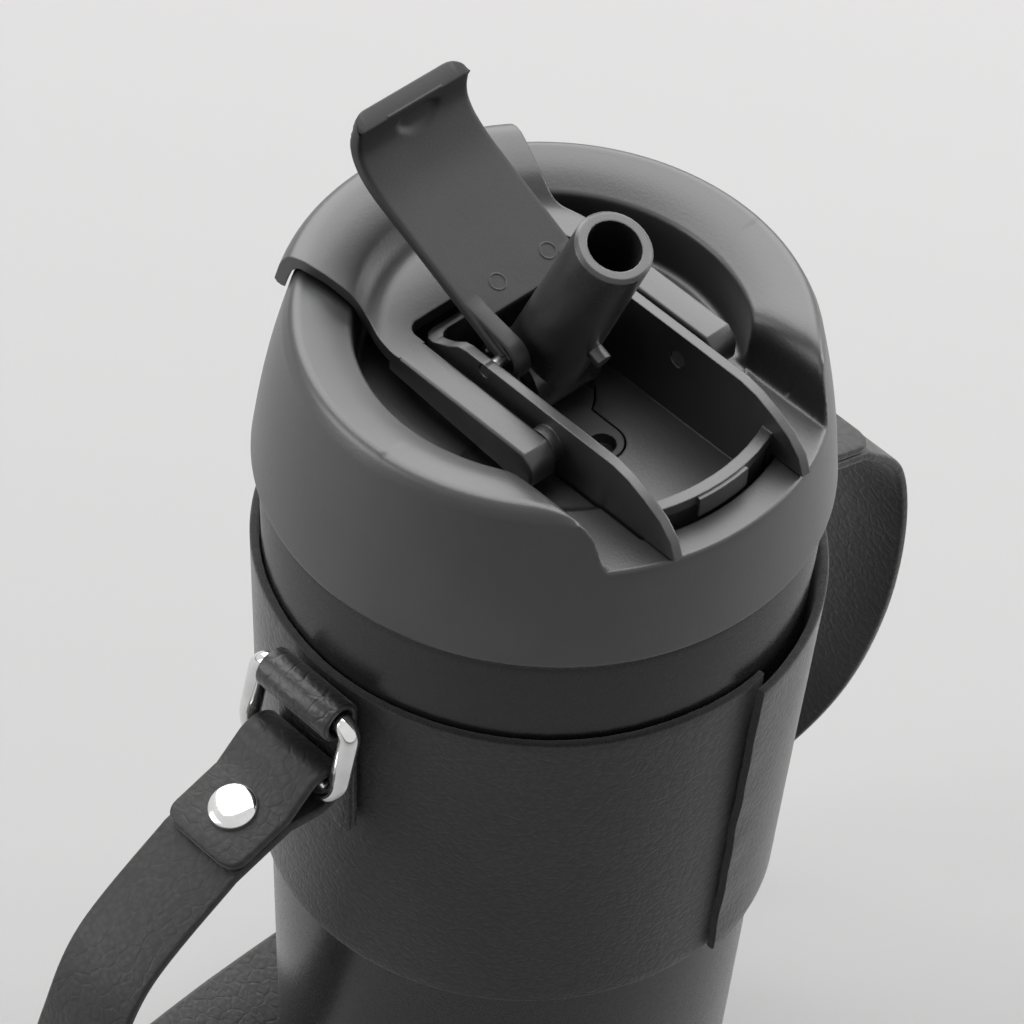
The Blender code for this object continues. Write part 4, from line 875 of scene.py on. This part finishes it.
class TUMBLER_OT_cap(bpy.types.Operator):
    """Mould the flip cap, with its hook, thumb recess, cheeks and ejector marks"""
    bl_idname = "tumbler.cap"
    bl_label = "Flip cap"

    def execute(self, context):
        parts = [self.plate()]
        for sign in SIDES.values():
            parts += self.cheek(sign)
        for x, u in ((-0.0035, 0.0094), (0.0062, 0.0094)):
            parts.append(self.mark(x, u))
        parts.append(self.hook_line())
        verts, faces = merged(parts)
        mesh = bpy.data.meshes.new("moulded_cap")
        mesh.from_pydata([(x, -u, w) for x, u, w in verts], [], faces)
        mesh.transform(Matrix.Translation(HINGE) @ Matrix.Rotation(-CAP_OPEN, 4, "X"))
        outward(mesh)
        lid = context.scene.tumbler_lid
        plastic = moulded("cap_plastic", lid.plastic, lid.edge, 0.50, gloss=0.35)
        item = make_object("moulded_cap", mesh, plastic)
        split_edges(item, 38)
        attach(item, "cap")
        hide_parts("flip_cap")
        return {"FINISHED"}

    def plate(self):
        """The curved plate and its hook, closed, as (x, forwards, up) from the hinge."""
        inner = [
            (0.0225, -0.0014), (0.0265, -0.00142), (0.0295, -0.0017), (0.0320, -0.0023),
            (0.0339, -0.0034), (0.0350, -0.0049), (0.0356, -0.0064), (0.0359, -0.0072)]
        outer = [
            (0.0388, -0.0072), (0.0384, -0.0062), (0.0377, -0.0055), (0.0371, -0.0043),
            (0.0362, -0.0028), (0.0347, -0.0013), (0.0326, -0.0002), (0.0298, 0.0004),
            (0.0262, 0.0005), (0.0225, 0.00042)]
        under = smooth_outline(inner, 8)
        over = smooth_outline(outer, 5)
        foot = arc(0.0361, -0.0072, 0.0003, 190, 270, 3) + arc(0.0385, -0.0072, 0.0003, 270, 350, 3)
        flat = 14
        rounding = 0.00045
        xs = [(-CAP_HALF_WIDTH + rounding * (1 - math.cos(math.radians(a))),
               rounding * (1 - math.sin(math.radians(a)))) for a in (0, 20, 40, 60, 90)]
        count = 44
        start, end = -CAP_HALF_WIDTH + rounding, CAP_HALF_WIDTH - rounding
        xs += [(start + (end - start) * index / count, 0.0) for index in range(1, count)]
        xs += [(-x, depth) for x, depth in reversed(xs[:5])]
        for step in (-CHEEK_INNER - 0.00001, -CHEEK_INNER, CHEEK_INNER, CHEEK_INNER + 0.00001):
            xs.append((step, 0.0))
        xs.sort()
        corner = 0.0030
        tip = 0.0388
        columns = []
        for x, depth in xs:
            back = 0.0 if abs(x) > CHEEK_INNER + 0.000005 else CAP_CUT_BACK
            bottom = [(back + (0.0225 - back) * index / flat, -0.0014) for index in range(flat)]
            top = [(0.0225 - (0.0225 - back) * index / flat, 0.0004) for index in range(1, flat + 1)]
            loop = bottom + under + foot + over + top
            loop = inset(loop, depth)
            pull = max(0.0, abs(x) - (CAP_HALF_WIDTH - corner))
            reach = tip - (corner - math.sqrt(max(0.0, corner ** 2 - pull ** 2)))
            column = []
            for u, w in loop:
                dish = (x - 0.0008) / 0.0042
                rise = (w + 0.0047) / 0.0019
                press = max(0.0, 1.0 - dish * dish - rise * rise)
                if w < -0.0026 and 0.0320 < u < 0.0357 and press > 0.0:
                    sink = 0.00045 * min(1.0, press * 2.2)
                    u, w = u + sink, w + sink * 0.35
                column.append((x, min(u, reach + 0.15 * (u - reach)), w))
            columns.append(column)
        return loft(columns)

    def cheek(self, sign):
        """A hinge cheek with its raised border and diagonal rib."""
        reach = math.hypot(LOBE_REACH, 0.0014)
        touch = math.degrees(math.acos(LOBE_RADIUS / reach) + math.atan2(0.0014, LOBE_REACH))
        lobe = [(LOBE_REACH, -0.0012)] + arc(0.0, 0.0, LOBE_RADIUS, -touch, -326, 30)
        lobe += [(0.0022, 0.0015), (LOBE_REACH / 2, 0.00035), (LOBE_REACH, 0.00035)]
        lobe.reverse()
        layers = []
        soft = 0.0003
        web, rim = CHEEK_OUTER - 0.0009, CHEEK_OUTER
        border = 0.00085
        for x, depth in (
                (CHEEK_INNER + 0.00005, soft), (CHEEK_INNER + 0.0001, soft * 0.4),
                (CHEEK_INNER + soft, 0.0),
                (rim - soft, 0.0), (rim - soft * 0.3, soft * 0.3), (rim, soft),
                (rim, border - soft * 0.5), (rim - soft * 0.4, border), (web, border + 0.0002)):
            layers.append([(sign * x, u, w) for u, w in inset(lobe, depth)])
        rib = []
        start, end = Vector((-0.0010, -0.0012)), Vector((0.0058, -0.0016))
        along = (end - start).normalized()
        side = Vector((-along.y, along.x))
        for x, half in ((web - 0.0001, 0.00038), (web + 0.0005, 0.0003), (web + 0.0006, 0.00012)):
            corners = [start + side * half, start - side * half, end - side * half, end + side * half]
            rib.append([(sign * x, corner.x, corner.y) for corner in corners])
        return [loft(layers), loft(rib)]

    def mark(self, x, u):
        """The fine raised circle that an ejector pin leaves."""
        columns = []
        for degrees in range(0, 361, 12):
            angle = math.radians(degrees)
            out = Vector((math.cos(angle), math.sin(angle)))
            ring = []
            for radial, rise in arc(0.0, 0.0, 0.00011, 0, 300, 5):
                place = Vector((x, u)) + out * (0.00125 + radial)
                ring.append((place.x, place.y, -0.0014 - rise))
            columns.append(ring)
        return loft(columns)

    def hook_line(self):
        """The parting line along the hook's inner edge."""
        columns = []
        for index in range(13):
            x = -0.0052 + 0.0102 * index / 12
            columns.append([(x, u, w) for u, w in arc(0.0361, -0.00748, 0.00014, 0, 300, 5)])
        return loft(columns)


class TUMBLER_OT_threads(bpy.types.Operator):
    """Cut the screw threads of the neck and the lid"""
    bl_idname = "tumbler.threads"
    bl_label = "Screw threads"

    def execute(self, context):
        steel = bpy.data.materials["brushed_steel"]
        plastic = bpy.data.materials["moulded_plastic"]
        neck = self.thread("neck_thread", NECK_RADIUS - 0.00005, 0.0007, LID_LEVEL + 0.0010, steel)
        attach(neck, "bottle")
        lid = self.thread("lid_thread", LID_THREAD_RADIUS, -0.0009, LID_LEVEL + 0.0018, plastic)
        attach(lid, "lid")
        return {"FINISHED"}

    def thread(self, name, radius, height, level, material):
        """A screw thread that fades out at both ends, its height below nought inwards."""
        path = []
        sections = []
        steps = 200
        for index in range(steps + 1):
            share = index / steps
            angle = math.tau * THREAD_TURNS * share
            out = Vector((math.cos(angle), math.sin(angle), 0.0))
            climb = THREAD_PITCH * THREAD_TURNS * share
            path.append((out * radius + Vector((0.0, 0.0, level + climb)), out))
            fade = max(0.05, min(1.0, share * 12, (1 - share) * 12))
            tall = height * fade
            base = -0.15 * height
            sections.append([
                (base, 0.0008), (tall * 0.8, 0.0003), (tall, 0.0), (tall * 0.8, -0.0003),
                (base, -0.0008)])
        item = sweep(name, path, sections, material)
        split_edges(item, 40)
        return item


class TUMBLER_OT_sleeve(bpy.types.Operator):
    """Wrap the leather sleeve round the body, with its overlapping seam"""
    bl_idname = "tumbler.sleeve"
    bl_label = "Leather sleeve"

    def execute(self, context):
        sleeve = context.scene.tumbler_sleeve
        columns, rows = 400, 30
        turns = [(math.tau + LAP_ANGLE) * index / columns for index in range(columns + 1)]
        bottom = SLEEVE_TOP - SLEEVE_HEIGHT
        edge = 0.00042
        top, outer, flat = SLEEVE_HEIGHT - edge, SLEEVE_LEATHER - edge, SLEEVE_HEIGHT - 2 * edge
        section = [(0.0, edge + flat * index / rows) for index in range(rows + 1)]
        section += arc(edge, top, edge, 180, 90, 4)[1:]
        section += arc(outer, top, edge, 90, 0, 4)
        section += [(SLEEVE_LEATHER, top - flat * index / rows) for index in range(1, rows + 1)]
        section += arc(outer, edge, edge, 0, -90, 4)[1:]
        section += arc(edge, edge, edge, -90, -180, 4)[:-1]
        verts = []
        for turn in turns:
            angle = FLAP_ANGLE + turn
            fade = max(0.0, 1.0 - turn / FLAP_FADE) ** 1.3
            under = max(0.0, (turn - math.tau) / LAP_ANGLE)
            for out, rise in section:
                share = rise / SLEEVE_HEIGHT
                lift = sleeve.lift_bottom + (sleeve.lift_top - sleeve.lift_bottom) * share ** 1.5
                height = bottom + rise
                place = Vector((math.sin(angle), -math.cos(angle), 0.0))
                ripple = noise.noise(Vector((place.x * 3.1, place.y * 3.1, height * 60.0)))
                ragged = noise.noise(Vector((angle * 90.0, 4.0, round(share) * 9.0)))
                rim = max(0.0, 1.0 - min(rise, SLEEVE_HEIGHT - rise) / 0.0012)
                wave = noise.noise(Vector((height * 140.0, 7.0, turn * 4.0))) * 0.0003
                radius = body_radius(height) + SEAT_GAP + out * (1.0 - 0.25 * under)
                radius += lift * fade + fade ** 6 * wave + 0.00008 * (ripple + 0.6)
                height += rim * (0.00016 * ragged + 0.00025 * noise.noise(place * 2.0))
                verts.append((radius * place.x, radius * place.y, height))
        size = len(section)
        faces = bridged(neighbours(columns + 1), size, size)
        ends = [tuple(range(size)), tuple(range(columns * size, columns * size + size))]
        mesh = closed_mesh("leather_sleeve", verts, faces + ends)
        hide = leather("sleeve_leather", sleeve.colour, sleeve.grain, 0.50, 0.00009)
        item = make_object("leather_sleeve", mesh, hide)
        mesh.materials.append(raw_edge(sleeve.colour))
        rim = 0.8 * edge
        for face in mesh.polygons:
            level = face.center.z
            if len(face.vertices) > 4 or level > SLEEVE_TOP - rim or level < bottom + rim:
                face.material_index = 1
        split_edges(item, 50)
        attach(item, "bottle")
        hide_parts("sleeve")
        return {"FINISHED"}


class TUMBLER_OT_tabs(bpy.types.Operator):
    """Fold the leather tabs that hold the rings on the sleeve"""
    bl_idname = "tumbler.tabs"
    bl_label = "Ring tabs"

    def execute(self, context):
        hide = leather(
            "tab_leather", context.scene.tumbler_sleeve.colour, 0.0011, 0.36, 0.00016, "UV", 0.15, 0.1)
        half = TAB_LEATHER / 2
        face = ROLL_OUT - ROLL_RADIUS
        slope = (SHOULDER_RADIUS - BASE_RADIUS) / SHOULDER_LEVEL
        bottom = ROLL_LEVEL - TAB_LEG
        route = []
        for index in range(13):
            height = bottom + (ROLL_LEVEL - bottom) * index / 12
            route.append((face + half + slope * min(0.0, height - ROLL_LEVEL + ROLL_RADIUS), height))
        route += arc(ROLL_OUT, ROLL_LEVEL, ROLL_RADIUS - half, 180, -62, 30)[1:]
        outer = face + 3 * half + 0.00005
        swing = [Vector((x, z)) for x, z in (
            route[-1], (outer + 0.0006, ROLL_LEVEL - 0.0036), (outer - slope * 0.005, ROLL_LEVEL - 0.0052))]
        route += [tuple(point) for point in smooth_path(swing, 5)[1:]]
        for index in range(1, 13):
            height = ROLL_LEVEL - 0.0052 + (bottom + 0.0052 - ROLL_LEVEL) * index / 12
            route.append((outer + slope * (height - ROLL_LEVEL + ROLL_RADIUS), height))
        for side, sign in SIDES.items():
            path = [(Vector((sign * x, 0.0, z)), Vector((0.0, 1.0, 0.0))) for x, z in route]
            section = rounded_section(TAB_WIDTH, TAB_LEATHER, 0.00032, 3)
            item = sweep("leather_tab_" + side, path, [section] * len(path), hide)
            split_edges(item, 60)
            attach(item, "bottle")
            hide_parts("ring_tab_" + side)
        return {"FINISHED"}


class TUMBLER_OT_rings(bpy.types.Operator):
    """Bend the chrome D rings and turn their rivets"""
    bl_idname = "tumbler.rings"
    bl_label = "Rings and rivets"

    def execute(self, context):
        carry = context.scene.tumbler_carry
        chrome = chrome_plate(carry.chrome)
        half = arc(RING_HALF_WIDTH - BAR_CORNER, -BAR_CORNER, BAR_CORNER, 90, 0, 12)
        half += arc(
            RING_HALF_WIDTH - BOW_CORNER, BOW_CORNER - RING_DROP, BOW_CORNER, 0, -90, 24)
        loop = half + [(-u, v) for u, v in reversed(half)]
        wire = arc(0.0, 0.0, carry.wire_radius, 0, 360, 28)[:-1]
        for side, sign in SIDES.items():
            out = Vector((sign * math.cos(RING_TILT), 0.0, math.sin(RING_TILT)))
            path = []
            for along, down in loop:
                place = Vector((sign * (ROLL_OUT - down * math.sin(RING_TILT)), along,
                                ROLL_LEVEL + down * math.cos(RING_TILT)))
                path.append((place, out))
            ring = sweep("chrome_ring_" + side, path, [wire] * len(path), chrome, closed=True)
            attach(ring, side + "_ring")
            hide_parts("ring_" + side)
            head = self.rivet(side, sign, carry, chrome)
            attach(head, side + "_ring")
            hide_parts("rivet_" + side)
        return {"FINISHED"}

    def rivet(self, side, sign, carry, chrome):
        """A domed head with its shank and the flat head behind."""
        face = (carry.strap_thickness + SEAT_GAP) / 2 + carry.strap_thickness / 2
        radius = carry.rivet_radius
        rim = 0.0003
        dome = [(0.0, face + RIVET_DOME)]
        for index in range(1, 13):
            angle = math.radians(90 * index / 12)
            rise = (RIVET_DOME - rim) * math.cos(angle) ** 0.7
            dome.append((radius * math.sin(angle) ** 0.8, face + rim + rise))
        dome += [(radius, face), (0.0013, face), (0.0013, -face), (radius * 0.82, -face)]
        dome += [(radius * 0.82, -face - 0.0004), (radius * 0.70, -face - 0.0007), (0.0, -face - 0.0007)]
        start, end = rivet_line(sign, carry)
        turn = (end - start).to_track_quat("Z", "Y").to_matrix().to_4x4()
        item = lathe(
            "domed_rivet_" + side, dome, 48, chrome, Matrix.Translation((start + end) / 2) @ turn)
        split_edges(item, 45)
        return item


def fold_radius(carry):
    """Radius of the strap's middle line round the ring's bow."""
    edge = max(0.0, carry.strap_width / 2 - RING_HALF_WIDTH + BOW_CORNER) / BOW_CORNER
    slope = math.sqrt(1.0 - min(edge, 0.9) ** 2)
    rise = BOW_CORNER * (1.0 - slope)
    radius = carry.wire_radius / slope + 2 * SEAT_GAP + (rise + carry.strap_thickness) / 2 + PIN_GAP
    return radius, BOW_LEVEL + rise / 2


def fold_axes(sign):
    """Directions out along the strap's fold and through its thickness."""
    out = Vector((sign * math.cos(STRAP_PULL), 0.0, math.sin(STRAP_PULL)))
    across = Vector((-sign * math.sin(STRAP_PULL), 0.0, math.cos(STRAP_PULL)))
    return out, across


def rivet_line(sign, carry):
    """Two points on the rivet's axis."""
    out, across = fold_axes(sign)
    radius, level = fold_radius(carry)
    middle = Vector((sign * BOW_OUT, 0.0, level)) + out * RIVET_OUT
    return middle - across * 0.003, middle + across * 0.003


def fold_route(sign, carry):
    """The strap's end from its tail, round the bow and out again."""
    radius, level = fold_radius(carry)
    offset = (carry.strap_thickness + SEAT_GAP) / 2
    head = carry.rivet_radius
    far, near = RIVET_OUT + head, RIVET_OUT - head
    reach = max(radius, math.hypot(near - FOLD_SHIFT, offset))
    touch = math.acos(radius / reach) + math.atan2(offset, near - FOLD_SHIFT)
    sweep_angle = 180 - math.degrees(touch)
    straight = [(TAIL_LENGTH + (near - TAIL_LENGTH) * index / 24, offset) for index in range(25)]
    turns = list(straight)
    turns += [(FOLD_SHIFT - u, v) for u, v in arc(0.0, 0.0, radius, sweep_angle, -sweep_angle, 36)]
    turns += [(u, -v) for u, v in reversed(straight)]
    out, across = fold_axes(sign)
    base = Vector((sign * BOW_OUT, 0.0, level))
    return [base + out * u + across * v for u, v in turns]


class TUMBLER_OT_strap(bpy.types.Operator):
    """Hang the carry strap between the rings, in two halves that meet behind the body"""
    bl_idname = "tumbler.strap"
    bl_label = "Carry strap"

    def execute(self, context):
        carry = context.scene.tumbler_carry
        hide = leather(
            "strap_leather", context.scene.tumbler_sleeve.colour, 0.0010, 0.52, 0.00010, "UV")
        level = Vector((0.0, 1.0, 0.0))
        ends = {side: fold_route(sign, carry) for side, sign in SIDES.items()}
        knots = [(ends["right"][-1], level)]
        for place, lie in STRAP_ROUTE:
            turn = math.radians(lie)
            knots.append((Vector(place), Vector((0.0, math.cos(turn), math.sin(turn)))))
        knots.append((ends["left"][-1], level))
        samples = 12
        places = smooth_path([place for place, wide in knots], samples)
        widths = smooth_path([wide for place, wide in knots], samples)
        middle = min(range(len(places)), key=lambda index: abs(places[index].x))
        free = list(zip(places, widths))
        halves = {
            "right": free[1:middle + 1],
            "left": list(reversed(free[middle:-1])),
        }
        for side, stretch in halves.items():
            path = [(place, level) for place in ends[side]] + stretch
            sections = []
            for index, (place, wide) in enumerate(path):
                tail = (place - ends[side][0]).length if index < 25 else 1.0
                pull = 0.0
                if tail < TAIL_ROUND:
                    pull = TAIL_ROUND - math.sqrt(TAIL_ROUND ** 2 - (TAIL_ROUND - tail) ** 2)
                width = carry.strap_width - 2 * pull
                sections.append(rounded_section(width, carry.strap_thickness, 0.0005, 3))
            item = sweep("strap_" + side, path, sections, hide)
            split_edges(item, 60)
            side + "_ring"
            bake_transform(item)
            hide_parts("strap")
        return {"FINISHED"}


class TUMBLER_OT_stage(bpy.types.Operator):
    """Lay the floor, hang the lamps and place the camera"""
    bl_idname = "tumbler.stage"
    bl_label = "Studio stage"

    def execute(self, context):
        stage = context.scene.tumbler_stage
        scene = context.scene
        scene.view_settings.view_transform = "Standard"
        bpy.ops.mesh.primitive_plane_add(size=6.0, location=(0.0, 0.0, 0.0))
        floor = context.object
        floor.name = "floor"
        floor.data.materials.append(stage_paint(stage.floor))
        for settings in LAMPS:
            self.lamp(*settings)
        self.world(stage.backdrop)
        camera = put_in_scene("camera", bpy.data.cameras.new("camera"))
        turn = Matrix((CAMERA_RIGHT, CAMERA_UP, CAMERA_BACK)).transposed().to_4x4()
        camera.matrix_world = Matrix.Translation(CAMERA_PLACE) @ turn
        camera.data.lens = stage.lens
        camera.data.sensor_width = 36.0
        camera.data.clip_start = 0.01
        scene.camera = camera
        return {"FINISHED"}

    def lamp(self, name, place, width, height, power):
        """A soft box that faces the tumbler."""
        light = bpy.data.lights.new(name, "AREA")
        light.shape = "RECTANGLE"
        light.size = width
        light.size_y = height
        light.energy = power
        item = put_in_scene(name, light)
        turn = (Vector(place) - LAMP_AIM).to_track_quat("Z", "Y").to_matrix().to_4x4()
        item.matrix_world = Matrix.Translation(place) @ turn

    def world(self, colour):
        """A faint even light, and a pale surround for camera, gloss and glass."""
        world = bpy.data.worlds.new("studio")
        bpy.context.scene.world = world
        world.use_nodes = True
        tree = world.node_tree
        tree.nodes.clear()
        path = tree.nodes.new("ShaderNodeLightPath")
        shown = tree.nodes.new("ShaderNodeBackground")
        shown.inputs["Color"].default_value = (*colour, 1.0)
        soft = tree.nodes.new("ShaderNodeBackground")
        soft.inputs["Color"].default_value = (1.0, 1.0, 1.0, 1.0)
        soft.inputs["Strength"].default_value = AMBIENT
        seen = path.outputs["Is Camera Ray"]
        for kind in ("Is Glossy Ray", "Is Transmission Ray"):
            either = tree.nodes.new("ShaderNodeMath")
            either.operation = "MAXIMUM"
            tree.links.new(seen, either.inputs[0])
            tree.links.new(path.outputs[kind], either.inputs[1])
            seen = either.outputs[0]
        mix = tree.nodes.new("ShaderNodeMixShader")
        output = tree.nodes.new("ShaderNodeOutputWorld")
        tree.links.new(seen, mix.inputs[0])
        tree.links.new(soft.outputs[0], mix.inputs[1])
        tree.links.new(shown.outputs[0], mix.inputs[2])
        tree.links.new(mix.outputs[0], output.inputs[0])


class TUMBLER_PT_panel(bpy.types.Panel):
    """Sizes, colours and pieces of the tumbler"""
    bl_idname = "TUMBLER_PT_panel"
    bl_label = "Double wall tumbler"
    bl_space_type = "VIEW_3D"
    bl_region_type = "UI"
    bl_category = "Tumbler"

    def draw(self, context):
        for group in SETTINGS:
            settings = getattr(context.scene, group)
            box = self.layout.box()
            for name in settings.__annotations__:
                box.prop(settings, name)
        for operator in OPERATORS:
            self.layout.operator(operator.bl_idname)


SETTINGS = {
    "tumbler_sleeve": SleeveSettings,
    "tumbler_carry": CarrySettings,
    "tumbler_lid": LidSettings,
    "tumbler_stage": StageSettings,
}
OPERATORS = (
    TUMBLER_OT_body,
    TUMBLER_OT_lid,
    TUMBLER_OT_shell,
    TUMBLER_OT_handle,
    TUMBLER_OT_cap,
    TUMBLER_OT_threads,
    TUMBLER_OT_sleeve,
    TUMBLER_OT_tabs,
    TUMBLER_OT_rings,
    TUMBLER_OT_strap,
    TUMBLER_OT_stage,
)


def register():
    for group in SETTINGS.values():
        bpy.utils.register_class(group)
    for name, group in SETTINGS.items():
        setattr(bpy.types.Scene, name, PointerProperty(type=group))
    for item in OPERATORS + (TUMBLER_PT_panel,):
        bpy.utils.register_class(item)


def unregister():
    for item in reversed(OPERATORS + (TUMBLER_PT_panel,)):
        bpy.utils.unregister_class(item)
    for name, group in SETTINGS.items():
        delattr(bpy.types.Scene, name)
        bpy.utils.unregister_class(group)


def main():
    """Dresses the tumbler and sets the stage."""
    register()
    bpy.ops.tumbler.body()
    bpy.ops.tumbler.lid()
    bpy.ops.tumbler.shell()
    bpy.ops.tumbler.handle()
    bpy.ops.tumbler.cap()
    bpy.ops.tumbler.threads()
    bpy.ops.tumbler.sleeve()
    bpy.ops.tumbler.tabs()
    bpy.ops.tumbler.rings()
    bpy.ops.tumbler.strap()
    bpy.ops.tumbler.stage()


if __name__ == "__main__":
    main()
